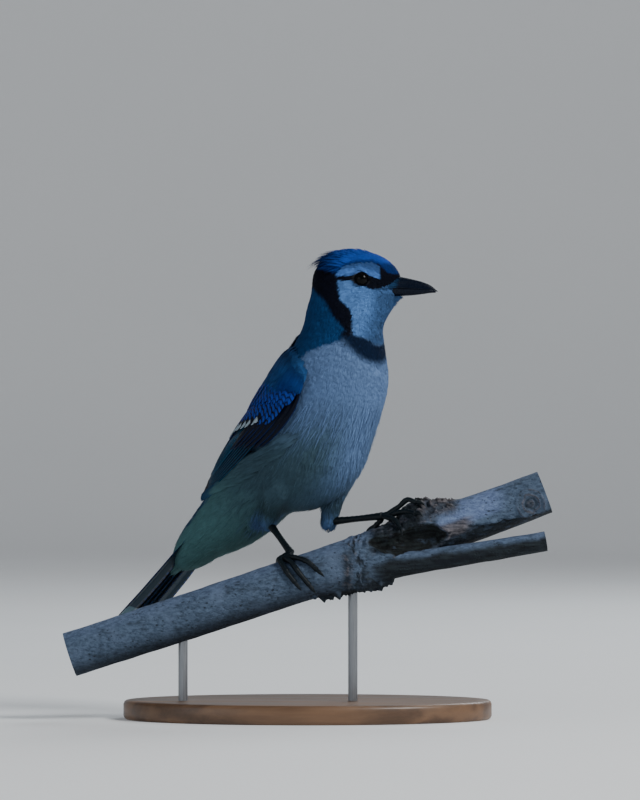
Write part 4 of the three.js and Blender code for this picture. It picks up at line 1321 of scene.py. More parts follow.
for side, spot in WINGS.items():
    for name, (count, half, level, ink, paint) in TIERS.items():
        root_a, root_b, tip_a, tip_b = TIER_CORNERS[name]
        k = np.linspace(0, 1, count)[:, None]
        jitter = rng.normal(0, 0.006, (count, 2))
        start = mix(root_a, root_b, k)
        end = mix(tip_a, tip_b, k) + jitter
        lift = (level + 0.55 * (1 - k)) * np.minimum(2 * t, 1) + 0.1
        centres, across, outs = laid(spot, start, end, lift, VANE_STEPS)
        inner_tip = 0.25 if name in ("primaries", "secondaries") else 0.35
        inner = half * web([0.35, 0.9, 1.0, 0.95, 0.85], inner_tip)(t) * np.ones((count, 1))
        outer = half * web([0.35, 0.8, 0.9, 0.85, 0.7], 0.35)(t) * np.ones((count, 1))
        marks = np.column_stack([np.tile(ink, (count, 1)), rng.random(count)])
        if name == "greater_coverts":
            marks[-2:, 1] = 0
        vane_piece(f"{name}_{side}", centres, across, outs, inner, outer, marks, paint)
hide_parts("wing_left")
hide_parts("wing_right")
print("wing tiers:", ", ".join(TIERS))

# %% [markdown]
# ## Small feathers of the wings
# Shoulder and scapulars hide the roots of the tiers, and rise out of the skin with no step. Along the
# wing's lower edge loose feathers of the flank lie over the outermost primaries, as in the photograph.

# %% Small feathers of the wings
SHEET_LONG = 112.0  # millimetres from shoulder to wing tip along the sheet


def sheet_feathers(name, spot, u, v, lengths, swing, low, high, widths, tint, slot):
    """Coat feathers on a wing's sheet: lengths in millimetres, swing towards greater v, low to high level."""

    def places(lifted):
        def at(share):
            rise = mix(low, high, share**0.6) + lifted
            return spot(u + lengths / SHEET_LONG * share, v + swing * share, rise)

        return feather_paths(at)

    centres = places(0)
    outs = unit(places(1) - centres)
    coat_piece(name, centres, outs, widths[:, None] * HALF_SHAPE, 0.2, 0.4, rng, slot, tint=tint)
    return len(u)


def jittered(us, vs, shake):
    """A grid of places on a sheet, each row offset by half a step, with a little shake."""
    u, v = np.meshgrid(us, vs, indexing="ij")
    v = v + (np.arange(len(us)) % 2)[:, None] * (vs[1] - vs[0]) / 2
    return u.ravel() + rng.normal(0, shake, u.size), v.ravel() + rng.normal(0, shake, u.size)


small = 0
for side, spot in WINGS.items():
    u, v = jittered(np.linspace(0.045, 0.2, 14), np.linspace(0.0, 0.98, 25), 0.006)
    u = u - 0.09 * ease(v, 0.4, 0.95) * ease(u, 0.08, 0.2)
    count = len(u)
    shade = mix((0.006, 0.042, 0.135), (0.012, 0.066, 0.22), rng.random((count, 1)))
    shade = mix(shade, (0.003, 0.028, 0.16), (ease(v, 0.5, 0.8) * ease(u, 0.05, 0.12))[:, None])
    shade = mix(shade, (0.024, 0.105, 0.30), 0.8 * (ease(v, 0.4, 0.8) * fall(u, 0.05, 0.10))[:, None])
    lengths = rng.uniform(7.5, 10, count)
    high = rng.uniform(3.1, 3.5, count) - 1.6 * fall(u, 0.03, 0.10)
    widths = np.full(count, 2.0)
    low = mix(-1.5, 2.2, ease(u, 0.03, 0.10))
    small += sheet_feathers(
        f"shoulder_{side}", spot, u, v, lengths, 0, low, high, widths, shade, "plumage_blue"
    )
    u, v = jittered(np.linspace(-0.04, 0.34, 24), np.linspace(-0.16, 0.03, 7), 0.008)
    count = len(u)
    shade = np.array(SLATE) * rng.uniform(0.9, 1.3, (count, 1))
    lengths = rng.uniform(12, 16, count)
    high = rng.uniform(2.6, 3.6, count) - 2.4 * fall(u, -0.04, 0.10)
    low = mix(-2.8, -0.6, ease(u, -0.02, 0.08))
    widths = np.full(count, 2.4)
    small += sheet_feathers(
        f"scapulars_{side}", spot, u, v, lengths, 0.05, low, high, widths, shade, "plumage_blue"
    )
    u, v = jittered(np.linspace(0.40, 0.92, 34), np.linspace(0.86, 1.16, 9), 0.008)
    beyond = v > 1.0 - 0.16 * ease(u, 0.52, 0.66)
    u, v = u[beyond], v[beyond]
    count = len(u)
    lengths = rng.uniform(8, 13, count)
    high = rng.uniform(0.3, 1.7, count)
    widths = rng.uniform(0.9, 1.5, count)
    small += sheet_feathers(
        f"flank_{side}", spot, u, v, lengths, -0.03, -2.4, high, widths, None, "plumage_grey"
    )
print("shoulder feathers:", small)

# %% [markdown]
# ## Tail
# Twelve rectrices lie under one another, the middle pair on top. From below, as in the photograph, they are
# dark grey with pale ends, and from above they are blue with black bars.

# %% Tail
TAIL = {"root": (-92, 98.5), "tip": (-149.5, 44.7), "count": 12, "steps": 30}
TAIL |= {"root_gap": 2.0, "tip_gap": 2.6, "half": 6.4, "round": 9}
TAIL_LONG = math.hypot(TAIL["root"][0] - TAIL["tip"][0], TAIL["root"][1] - TAIL["tip"][1])


def tail_spot(u, v, level):
    forward = mix(TAIL["root"][0], TAIL["tip"][0], u)
    height = mix(TAIL["root"][1], TAIL["tip"][1], u) - 1.6 * np.sin(np.pi * np.minimum(u, 1))
    pitch = math.atan2(TAIL["root"][1] - TAIL["tip"][1], TAIL["root"][0] - TAIL["tip"][0])
    rise = level - 0.006 * v * v
    return place(forward - rise * math.sin(pitch), v, height + rise * math.cos(pitch))


outermost = (TAIL["count"] - 1) / 2
i = np.arange(TAIL["count"]) - outermost
ends = 1 - TAIL["round"] * (i / outermost) ** 2 / TAIL_LONG
start = np.column_stack([np.full(TAIL["count"], -0.08), i * TAIL["root_gap"]])
end = np.column_stack([ends, i * TAIL["tip_gap"]])
level = (2.4 - 0.85 * np.abs(i))[:, None]
t = np.linspace(0, 1, TAIL["steps"])
centres, across, outs = laid(tail_spot, start, end, level + 0 * t, TAIL["steps"])
across = across * np.sign(i)[:, None, None]
outs = np.where(dot(outs, tail_spot(0.5, 0, 1.0) - tail_spot(0.5, 0, 0.0)) > 0, outs, -outs)
lean = np.abs(i)[:, None] / outermost
inner = TAIL["half"] * mix(1.0, 1.15, lean) * web([0.5, 0.8, 1, 1, 0.95], 0.13)(t)
outer = TAIL["half"] * mix(1.0, 0.62, lean) * web([0.5, 0.8, 1, 1, 0.9], 0.2)(t)
tips = np.where(np.abs(i) < 1, 0.02, mix(0.35, 0.8, (np.abs(i) / outermost) ** 2))
seeds = np.linspace(0.1, 0.9, TAIL["count"])
marks = np.column_stack([np.ones(TAIL["count"]), tips, np.full(TAIL["count"], 0.3), seeds])
tail = vane_piece("tail_vanes", centres, across, outs, inner, outer, marks, tail_paint, thick=0.3)
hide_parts("tail")
print("tail length:", round(TAIL_LONG), "mm")

# %% [markdown]
# Soft coverts under the tail's root carry the belly's plumage on to the vanes.

# %% Undertail coverts
count = 150
v = rng.uniform(-6, 6, count)
u = rng.uniform(0.08, 0.25, count) - 0.012 * np.abs(v)
lengths = rng.uniform(9, 13, count)


def covert_spot(share, lifted=0):
    level = mix(-6.0, -3.6, share) + 0.02 * v * v + lifted
    return tail_spot(u + lengths / TAIL_LONG * share, v * (1 - 0.2 * share), level)


centres = feather_paths(covert_spot)
outs = unit(centres - feather_paths(lambda share: covert_spot(share, 1)))
halves = rng.uniform(1.2, 1.7, (count, 1)) * HALF_SHAPE
coat_piece("undertail_coverts", centres, outs, halves, 0.15, 0.4, rng, "plumage_grey")
print("undertail coverts:", count)

# %% [markdown]
# ## Bill
# Horn over bone in two halves that meet along the mouth. The upper one is a little longer and wider, its
# ridge straight and then bent down at the tip, and fine growth lines run along both.

# %% Bill
BILL_ROWS = [24, 28, 34, 40, 46, 50, 53.4]
CULMEN = [236.2, 236, 234.9, 233.6, 232, 230.2, 227.4]
MOUTH = [229.3, 229.1, 228.8, 228.5, 228.1, 227.8, 226.9]
GONYS = [224.2, 224.2, 224.6, 225, 225.7, 226.3, 226.4]
BILL_HALF = [6.9, 6.2, 4.5, 3.25, 2.1, 1.2, 0.45]


def bill_half(outline, narrow, shorter, rows=70, sides=33):
    first = curve(np.column_stack([BILL_ROWS, outline, BILL_HALF]))
    mouth = curve(np.column_stack([BILL_ROWS, MOUTH, BILL_HALF]))
    t = np.linspace(0, 1, rows)
    ridge, edge = first(t), mouth(t)
    forward = np.minimum(ridge[:, 0], BILL_ROWS[-1] - shorter)
    gap = np.sign(ridge[:, 1] - edge[:, 1]) * 0.015
    angle = np.linspace(0, np.pi, sides)
    across = np.sign(np.cos(angle)) * np.abs(np.cos(angle)) ** 0.85
    rise = np.sin(angle) ** 1.1
    left = ridge[:, 2:] * narrow * across
    height = mix((edge[:, 1] + gap)[:, None], ridge[:, 1:2], rise)
    points = on_head(forward[:, None] + 0 * left, left, height).reshape(-1, 3)
    return capped(points, sides)


horn = Finish("bill_horn", Specular_IOR_Level=0.14)
growth = horn.noise(0.0011, 3, at=horn.place((1, 0.25, 1)))
bill_mottle = horn.blend(growth, (0.0006, 0.0022, 0.008), (0.002, 0.006, 0.016))
bill_paint = horn.paint(bill_mottle, roughness=growth * 0.15 + 0.20, height=growth, depth=0.00010)
upper_bill = new_piece("bill_upper_horn", *bill_half(CULMEN, 1.0, 0), bill_paint, "horn")
lower_bill = new_piece("bill_lower_horn", *bill_half(GONYS, 0.9, 1), bill_paint, "horn")
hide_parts("bill_upper")
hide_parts("bill_lower")
print("bill rows:", len(BILL_ROWS))

# %% [markdown]
# Stiff bristles lie forward over the bill's base, and pale feathers of the chin run out under it, with
# painted shade darkening them nearest the bill.

# %% Bristles and chin
count = 260
side = np.where(np.arange(count) % 2, 1, -1)
spread = rng.random(count)
lengths = rng.uniform(6.5, 10.5, count) * mix(0.75, 1, spread)


def bristle_spot(share):
    forward = 25.2 + lengths * share
    wide, foot, ridge = (np.interp(forward, BILL_ROWS, outline) for outline in (BILL_HALF, MOUTH, CULMEN))
    up = np.clip(mix(0.12, 0.99, spread) - 0.16 * share, 0, 1)
    proud = 0.45 + 0.5 * np.sin(np.pi * share)
    left = side * (wide * np.sqrt(1 - up**2) + proud * (1 - up))
    return on_head(forward, left, mix(foot, ridge, up) + proud * up)


outs = np.repeat(heading(0.2, side * (1.05 - spread), spread, HEAD_YAW)[:, None], STEPS, 1)
halves = np.full((count, 1), 0.5) * np.array([1.0, 1.0, 0.8, 0.5, 0.25])
tint = np.array((0.008, 0.035, 0.090)) * rng.uniform(0.5, 1.2, (count, 1))
centres = feather_paths(bristle_spot)
coat_piece("nasal_bristles", centres, outs, halves, 0.1, 0.3, rng, "plumage_blue", tint=tint)

count = 150
down = rng.random(count)
aside = rng.uniform(-3.4, 3.4, count)
lengths = mix(8.5, 4.5, down) * rng.uniform(0.8, 1.05, count)


def chin_spot(share):
    forward = mix(27.2, 24.6, down) + lengths * share
    return on_head(forward, aside * (1 - 0.45 * share), mix(223.9, 216.6, down) + 0.5 * share)


outs = np.repeat(heading(0.3, aside / 4, -0.8 + 0 * down, HEAD_YAW)[:, None], STEPS, 1)
halves = np.full((count, 1), 0.75) * HALF_SHAPE
# Painted shade: the chin feathers are darker nearest the bill, in the shade under it.
tint = np.array(CHEEK) * mix(0.4, 0.8, down)[:, None] * rng.uniform(0.7, 1.2, (count, 1))
centres = feather_paths(chin_spot)
coat_piece("chin_feathers", centres, outs, halves, 0.15, 0.35, rng, "plumage_blue", tint=tint)
print("chin feathers:", count)

# %% [markdown]
# ## Eyes and lids
# The eye is a dark brown iris round a black pupil under a clear wet dome, so it reads as black with one
# small light in it. A ring of bare dark skin, finely creased, holds it.

# %% Eyes and lids
def ball(centre, radius, facing, rings=40, sides=64):
    """A sphere whose poles lie on the way it faces."""
    polar = np.linspace(0, np.pi, rings)[1:-1]
    angle = np.linspace(0, 2 * np.pi, sides, endpoint=False)
    side = unit(np.cross(UP, facing))
    up = np.cross(facing, side)
    ring = (
        np.cos(polar)[:, None, None] * facing
        + np.sin(polar)[:, None, None] * (np.cos(angle)[:, None] * side + np.sin(angle)[:, None] * up)
    )
    poles = centre + radius * np.array([facing, -facing])
    points, faces = capped(centre + radius * ring.reshape(-1, 3), sides, poles)
    return points, turned_over(faces)


LID = {"radius": 3.25, "forward": 2.25, "thick": 0.55, "steps": 96, "sides": 14}
for side, eye in EYES.items():
    sign = 1 if side == "left" else -1
    facing = heading(0.16, sign, 0.04, HEAD_YAW)
    points, faces = ball(eye, EYE["radius"], facing)
    radial = np.linalg.norm(np.cross(points - eye, facing), axis=1) / EYE["radius"]
    own = np.column_stack([radial, np.zeros(len(radial))])
    wet = Finish(f"eye_{side}", Roughness=0.05, Specular_IOR_Level=0.11)
    ring_share = wet.map("Radial").part(0)
    fleck = wet.noise(0.0005, 3)
    iris = wet.blend(fleck, (0.0010, 0.0008, 0.0008), (0.0030, 0.0021, 0.0018))
    wet.paint(wet.blend(ring_share.step(0.36, 0.42), (0.001, 0.001, 0.001), iris))
    eyeball = new_piece(f"eyeball_{side}", points, faces, wet.material, "eye", maps={"Radial": own})
    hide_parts(f"eye_{side}")

    lid_skin = Finish(f"lid_{side}", Roughness=0.6, Specular_IOR_Level=0.04)
    crease = lid_skin.noise(0.0004, 3)
    lid_colour = lid_skin.blend(crease, (0.0003, 0.0004, 0.001), (0.0012, 0.0016, 0.003))
    lid_paint = lid_skin.paint(lid_colour, height=crease, depth=0.0001)
    angle = np.linspace(0, 2 * np.pi, LID["steps"], endpoint=False)
    round_lid = np.linspace(0, 2 * np.pi, LID["sides"], endpoint=False)
    up = unit(np.cross(facing, np.cross(UP, facing)))
    across = np.cross(up, facing)
    ring_way = np.cos(angle)[:, None] * across + np.sin(angle)[:, None] * up * 0.94
    middle = eye + facing * LID["forward"] + ring_way * LID["radius"]
    thick = LID["thick"] + 0.06 * np.sin(angle * 17)
    tube_way = np.cos(round_lid)[None, :, None] * ring_way[:, None] * 1.25
    tube_way = tube_way + np.sin(round_lid)[None, :, None] * facing
    lid_points = (middle[:, None] + thick[:, None, None] * tube_way).reshape(-1, 3)
    lid_grid = grid_faces(LID["steps"], LID["sides"], closed=True)
    j = np.arange(LID["sides"])
    last = (LID["steps"] - 1) * LID["sides"]
    seam = np.stack([last + j, last + (j + 1) % LID["sides"], (j + 1) % LID["sides"], j], -1)
    new_piece(f"lid_{side}", lid_points, [lid_grid, seam], lid_paint, "leg_skin")
print("eyes set", EYE["left"] * 2, "mm apart")

# %% [markdown]
# ## Branch
# The real one is a dead limb: smooth grey bark with fine specks, a swollen fork with ring ridges, a torn
# dark hollow, a crusted knob on top and a strip where the bark has peeled. The stem is one surface, shot
# outwards from its axis, so that every swelling and hollow is part of it.

# %% Branch shape
BRANCH_POINTS = [(-122, 0, 34.5), (-60, 0, 54.8), (0, 0, 74.7), (30, 0, 84.8), (56, 1, 93.8), (80, 2, 102.1)]
BRANCH_POINTS += [(106, 3, 111.3), (130, 4, 120.3)]
BRANCH_RADII = stations([11.8, 12, 12.2, 12.2, 12.3, 12.8, 12.8, 12.6, 12.4, 12.2, 12])
BRANCH_LINE = curve(BRANCH_POINTS)
LIMB_POINTS = [(30, -2, 78.5), (40, -4, 80), (48.8, -6, 82), (66, -7.5, 84.6), (87, -8.5, 87.9)]
LIMB_LINE = curve([*LIMB_POINTS, (108, -8.5, 91.2), (130, -8, 95)])
LIMB_RADII = stations([9.5, 8.6, 6.9, 6.1, 5.7, 5.4, 5.2])
LUMPS = {  # points of a line and the radii along it
    "collar": ([(4, -1, 74.5), (18, -2, 75.5), (34, -3, 77.5), (46, -4, 79.5)], [8, 8.8, 9.4, 6]),
    "knob": (
        [(46, 1, 98), (56, 1, 100.5), (64, 1, 103), (72, 2, 104), (82, 3, 103)],
        [5, 8.6, 13.2, 12.4, 10],
    ),
    "hollow": (
        [(39, -12, 94.5), (48, -13.5, 93.5), (58, -14, 95), (68, -13.5, 97), (74, -13, 97)],
        [1.5, 4.2, 6.4, 6.0, 2.5],
    ),
}
branch_shares = np.linspace(0, 1, 2000)
branch_x = BRANCH_LINE(branch_shares)[:, 0]


def on_branch(x, angle, off):
    """A spot along the branch and round it, 0 degrees facing -Y and 90 on top."""
    share = np.interp(x, branch_x, branch_shares)
    along = slope(BRANCH_LINE, share)
    near = np.broadcast_to([0.0, -1.0, 0.0], along.shape)
    top = unit(np.cross(near, along))
    turn = np.radians(angle)[..., None] if np.ndim(angle) else math.radians(angle)
    out = near * np.cos(turn) + top * np.sin(turn)
    return BRANCH_LINE(share) + out * np.asarray(BRANCH_RADII(share) + off)[..., None], out


def lump_distance(points, name, grow=0.0):
    knots, radii = LUMPS[name]
    t = np.linspace(0, 1, 40)
    centre = curve(knots)(t)
    radius = stations(radii)(t) + grow
    gap = np.full(len(points), 1e3)
    for c, r in zip(centre, radius):
        gap = np.minimum(gap, np.linalg.norm(points - c, axis=1) - r)
    return gap


STEM_ROWS = 420
STEM_SIDES = 150
STEM_REACH = 34.0
share = np.linspace(0, 1, STEM_ROWS)
centre = np.repeat(BRANCH_LINE(share), STEM_SIDES, 0)
along = slope(BRANCH_LINE, share)
near = np.array([0.0, -1.0, 0.0])
top = unit(np.cross(near, along))
angle = np.linspace(0, 360, STEM_SIDES, endpoint=False)
turn = np.radians(angle)
ways = near * np.cos(turn)[None, :, None] + top[:, None] * np.sin(turn)[None, :, None]
ways = ways.reshape(-1, 3)
stem_radius = np.repeat(BRANCH_RADII(share), STEM_SIDES)
low = np.zeros(len(ways))
high = np.full(len(ways), STEM_REACH)
for _ in range(14):
    middle = (low + high) / 2
    at = centre + ways * middle[:, None]
    field = soft_min(middle - stem_radius, lump_distance(at, "collar"), 4)
    field = soft_min(field, lump_distance(at, "knob"), 3)
    inside = np.maximum(field, -lump_distance(at, "hollow", 1.0)) < 0
    low = np.where(inside, middle, low)
    high = np.where(inside, high, middle)
at = centre + ways * low[:, None]
print("stem points:", len(at))

# %% [markdown]
# ## Bark
# Every mark on the bark is a share from 0 to 1 over the stem's points, read from the place along the branch
# and the way that the point faces: 0 degrees towards the camera, 90 up. The shares push the surface in and
# out, and then they mix the colours.

# %% Relief of the bark
ZONES = {  # along the branch: where a mark starts, is full, begins to fade and ends
    "crust": (58, 64, 80, 86),
    "peeled": (70, 74, 86, 94),
    "scar": (33, 41, 62, 68),
    "armpit": (27, 36, 60, 70),
    "pale": (70, 76, 100, 112),
}
RIDGES = (25.8, 28.6, 31.4, 35.0)
RIDGE_WIDTH = 0.9
CRACKS = {"place": 30.4, "width": 5.2}
EDGE_OF_BARK = ([66, 74, 89, 105, 116, 130], [30, -6, -12, -25, -35, -48])  # place and facing
KNOT = {"place": 122, "facing": -12, "long": 6.6, "round": 30}

x = at[:, 0]
turned = np.tile(angle, STEM_ROWS)
facing = np.where(turned > 180, turned - 360, turned)
stretched = at * np.array([0.35, 1, 1])
grain = rumple(stretched, 5, 21, 4)
ridges = 0
for number, ridge_at in enumerate(RIDGES):
    wander = x + 1.6 * rumple(at, 7, 81 + number, 2) + 0.6 * grain - ridge_at
    ridges = ridges + hump(wander, RIDGE_WIDTH) * ease(rumple(at, 4.5, 91 + number, 2), -0.35, 0.3)
ridges = ridges * within(turned - 20 - (turned > 200) * 360, 0, 60, 110)
cracks = hump(x - CRACKS["place"] + 1.5 * rumple(at, 7, 99, 2), CRACKS["width"])
cracks = cracks * ease(rumple(at * [2.2, 1, 0.8], 2.6, 97, 3), 0.0, 0.35)
crust = band(x, *ZONES["crust"]) * within(turned, 95, 40, 75)
crag = rumple(at, 2.4, 41, 4)
deep_gap = lump_distance(at, "hollow", 1.0) + 1.4 * rumple(at, 3.4, 35, 3)
hollow = fall(deep_gap, 0.2, 1.6)
lips = hump(deep_gap - 1.8, 1.1)
bark_edge = np.interp(x, *EDGE_OF_BARK) + 7 * rumple(at, 4, 31, 3)
bare = ease(x, 68, 75) * ease(bark_edge - facing, -1.5, 1.5) * ease(facing, -150, -110)
brown = band(x, *ZONES["peeled"]) * within(facing, -6, 12, 26)
underside = within(facing, -90, 25, 42) * ease(x, 2, 12) * fall(x, 50, 56)
past_knot = x - KNOT["place"]
past_knot_round = facing - KNOT["facing"] + 2 * past_knot
knot_off = np.sqrt((past_knot / KNOT["long"]) ** 2 + (past_knot_round / KNOT["round"]) ** 2)
knot = hump(knot_off, 0.55)
knot_lines = np.sin(knot_off * 12 + 2.5 * rumple(at, 3, 101, 2)) * fall(knot_off, 1.0, 1.3)
scar = band(x, *ZONES["scar"]) * ease(facing, -6, 10) * fall(facing, 95, 115)

push = 0.35 * grain + 0.8 * ridges - 0.7 * cracks + crust * (0.6 + 4.2 * crag) - 0.9 * bare
hanging = 6.5 * underside * np.maximum(rumple(at * [0.7, 1, 1], 2.8, 61, 3) - 0.06, 0)
push += 1.6 * hollow * rumple(stretched, 3.0, 51, 3) + hanging
frayed = lips * (0.5 + 2.6 * rumple(stretched, 2.2, 55, 4))
push += frayed + brown * (0.5 + 1.8 * rumple(stretched, 2.4, 57, 3))
push += (0.5 + rumple(at, 3, 59, 2)) * hump(bark_edge + 5 - facing, 5) * ease(x, 70, 76)
push += 1.0 * np.exp(-((knot_off - 1) ** 2) / 0.06) - 0.9 * knot + 0.35 * knot_lines
push += scar * (1.9 * rumple(at, 3.2, 103, 4) - 0.2)
surface = at + ways * push[:, None]
print("bark pushed out by", round(float(push.max()), 1), "mm at most")

# %% [markdown]
# Each point of the bark keeps four shares for its colours: torn wood, dark (dark wood, with painted shade
# in the hollow, in the crotch of the limb and on the lower side), sawn wood and pale bark (with painted
# light on top).

# %% Wear, painted shade and painted light of the bark
def with_ends(points, rows, sides, wear_and_painted_light):
    """A limb's rings closed by sawn ends, whose points are their own so that the bark stops at the edge."""
    rings = points.reshape(rows, sides, 3)
    ends = [rings[0], (rings[0] + rings[0].mean(0)) / 2, rings[-1], (rings[-1] + rings[-1].mean(0)) / 2]
    hubs = [rings[0].mean(0)[None], rings[-1].mean(0)[None]]
    total = rows * sides
    hub = total + 4 * sides
    faces = [
        grid_faces(rows, sides, closed=True),
        grid_faces(2, sides, closed=True, start=total, flip=True),
        grid_faces(2, sides, closed=True, start=total + 2 * sides),
        fan(hub, total + sides, sides, flip=True),
        fan(hub + 1, total + 3 * sides, sides),
    ]
    sawn = np.tile([0.0, 0.0, 1.0, 0.0], (4 * sides + 2, 1))
    return np.vstack([points, *ends, *hubs]), faces, np.vstack([wear_and_painted_light, sawn])


fibres = ridges * ease(rumple(at * np.array([0.6, 1, 1]), 1.6, 73, 2), -0.2, 0.5) * 0.8
fleck = ease(rumple(at * [0.5, 1, 1], 1.5, 77, 3), 0.05, 0.3)
crusted = crust * (0.35 + 0.65 * ease(crag, -0.25, 0.2))
torn = np.clip(most(brown * 0.9, crusted, fibres), 0, 1) * (1 - hollow)
torn = np.maximum(torn, lips * fleck * 0.7 * ease(x, 40, 48))
# Painted shade: the bark darkens on the side facing down, most towards the left end.
shadow = mix(0.72, 0.5, ease(x, -30, 20)) * ease(-facing, 0, 62) * (facing > -150)
# The dark share mixes real dark wood (bare, cracked, crusted) with painted shade in the hollow and
# underneath.
dark = most(hollow, underside * 0.85, bare * (0.9 - 0.35 * fleck) * (1 - brown), cracks * 0.8)
dark = np.clip(most(dark, shadow, crust * 0.75 * (1 - crusted)), 0, 1)
torn_dark = scar * (0.9 - 0.6 * fleck) + knot * 0.8 - 0.3 * knot_lines * (knot_off < 1.2)
dark = np.maximum(dark, np.clip(torn_dark, 0, 1))
torn = most(torn, 0.7 * np.clip(knot_lines, 0, 1), scar * fleck * 0.7)
collar = hump(x - 25, 2.8) * fall(facing, 10, 40) * ease(facing, -130, -100)
torn = np.maximum(torn, collar * ease(rumple(at, 1.2, 107, 3), -0.1, 0.3) * 0.8)
# Painted shade in the crotch between stem and limb.
armpit = band(x, *ZONES["armpit"]) * ease(-facing, 12, 42) * ease(facing, -150, -120)
dark = most(dark, collar * 0.75 * (1 - torn), armpit * (0.85 - 0.3 * fleck))
# Painted light on top of the stem's left part, carried in the pale share.
top_light = 0.35 * ease(facing, 20, 70) * fall(facing, 120, 160) * fall(x, 30, 45)
pale = band(x, *ZONES["pale"]) * ease(facing, -8, 6) * fall(facing, 60, 95) * (1 - crust)
wear_and_painted_light = np.column_stack([torn, dark, np.zeros(len(at)), np.maximum(pale, top_light)])
stem_points, stem_faces, wear_and_painted_light = with_ends(surface, STEM_ROWS, STEM_SIDES, wear_and_painted_light)
stem_faces = turned_over(stem_faces)
print("stem faces:", sum(len(group) for group in stem_faces))

# %% [markdown]
# The finish mixes fine grain, broad blotches and specks, and then lays torn wood, dark wood with painted
# shade, and sawn wood over them; the pale share brings pale bark and painted light.

# %% Bark finish and pieces
bark = Finish("bark", Specular_IOR_Level=0.2)
marks = bark.attribute("Wear")
fine = bark.noise(0.0016, 5, at=bark.place((0.55, 1, 1)), rough=0.7)
broad = bark.noise(0.016, 4)
specks = bark.node("ShaderNodeTexVoronoi", {"Vector": bark.place((0.7, 1, 1)), "Scale": 620.0})
spots = 1 - specks.step(0.18, 0.34)
bark_colour = bark.blend(fine.step(0.25, 0.75), (0.030, 0.048, 0.080), (0.098, 0.142, 0.215))
blotch = bark.noise(0.0035, 4, at=bark.place((0.3, 1, 1)), rough=0.65)
bark_colour = bark.blend(blotch.step(0.50, 0.72) * 0.65, bark_colour, (0.012, 0.018, 0.028))
bark_colour = bark.blend(broad.step(0.5, 0.72) * 0.5, bark_colour, (0.120, 0.165, 0.255))
lilac = bark.blend(fine.step(0.3, 0.7), (0.085, 0.120, 0.230), (0.180, 0.250, 0.420))
# The pale share holds pale bark and painted light on top.
pale_share = bark.attribute("Wear", 3)
bark_colour = bark.blend(pale_share * (1 - blotch.step(0.56, 0.7)) * 0.85, bark_colour, lilac)
patches = bark.noise(0.005, 3, at=bark.place((0.6, 1, 1)))
bark_colour = bark.blend(spots * patches.step(0.5, 0.62) * 0.7, bark_colour, (0.010, 0.012, 0.016))
wood_grain = bark.noise(0.0014, 4, at=bark.place((0.12, 1, 1)))
torn_wood = bark.blend(wood_grain.step(0.3, 0.7), (0.010, 0.009, 0.011), (0.130, 0.118, 0.128))
bark_colour = bark.blend(marks.part(0), bark_colour, torn_wood)
# The dark share's colour: dark wood, and painted shade.
deep = bark.blend(wood_grain.step(0.35, 0.75), (0.0012, 0.0016, 0.0022), (0.014, 0.020, 0.022))
bark_colour = bark.blend(marks.part(1), bark_colour, deep)
sawn = bark.blend(bark.noise(0.0009, 3), (0.26, 0.20, 0.14), (0.36, 0.29, 0.21))
bark_colour = bark.blend(marks.part(2), bark_colour, sawn)
bark_height = fine * 1.2 + spots * -0.6 + wood_grain * marks.part(0)
bark_paint = bark.paint(bark_colour, fine * 0.2 + 0.68, height=bark_height, depth=0.0006, strength=0.8)
stem = new_piece("branch_bark", stem_points, stem_faces, bark_paint, "bark", colours={"Wear": wear_and_painted_light})
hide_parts("perch_branch")

LIMB_ROWS = 150
LIMB_SIDES = 72


def limb_grain(t, a):
    around = np.stack([t * 30 + 0 * a, np.cos(a) * 3 + 0 * t, np.sin(a) * 3 + 0 * t], -1)
    return 0.22 * rumple(around, 2.0, 71)


limb_ring = tube(LIMB_LINE, LIMB_RADII, LIMB_ROWS, LIMB_SIDES, bump=limb_grain)[0][:-2]
limb_shares = np.linspace(0, 1, LIMB_ROWS)
limb_up = unit(limb_ring - np.repeat(LIMB_LINE(limb_shares), LIMB_SIDES, 0))[:, 2]
limb_mottle = rumple(limb_ring, 4, 75, 3)
limb_wear_and_painted_light = np.zeros((len(limb_ring), 4))
# Painted shade on the limb's lower side, and painted light on its top.
limb_painted_shade = 0.93 * fall(limb_up + 0.25 * limb_mottle, 0.1, 0.75)
limb_wear_and_painted_light[:, 1] = limb_painted_shade * ease(np.repeat(limb_shares, LIMB_SIDES), 0.02, 0.3)
limb_wear_and_painted_light[:, 3] = 0.25 * ease(limb_up + 0.4 * limb_mottle, 0.55, 0.95)
limb_points, limb_faces, limb_wear_and_painted_light = with_ends(limb_ring, LIMB_ROWS, LIMB_SIDES, limb_wear_and_painted_light)
limb = new_piece("limb_bark", limb_points, limb_faces, bark_paint, "bark", colours={"Wear": limb_wear_and_painted_light})
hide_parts("perch_limb")
print("limb points:", len(limb_points))

# %% [markdown]
# ## Legs
# Bare shanks and toes are covered in horny scutes, ring after ring, with pads under the joints. Each toe
# grips the bark and ends in a curved black claw.

# %% Legs
TOE_RADIUS = 1.35
scaled = Finish("leg_scutes", Specular_IOR_Level=0.2)
scale_noise = scaled.noise(0.0007, 3)
leg_colour = scaled.blend(scale_noise, (0.0008, 0.0022, 0.0035), (0.005, 0.011, 0.016))
leg_paint = scaled.paint(leg_colour, roughness=scale_noise * 0.25 + 0.32, height=scale_noise, depth=0.0001)


def scutes(count, depth):
    """Ring scales: each swells from its upper edge to its lower one."""
    return lambda t, a: depth * ((t * count) % 1) * (0.6 + 0.4 * np.cos(a - np.pi / 2))


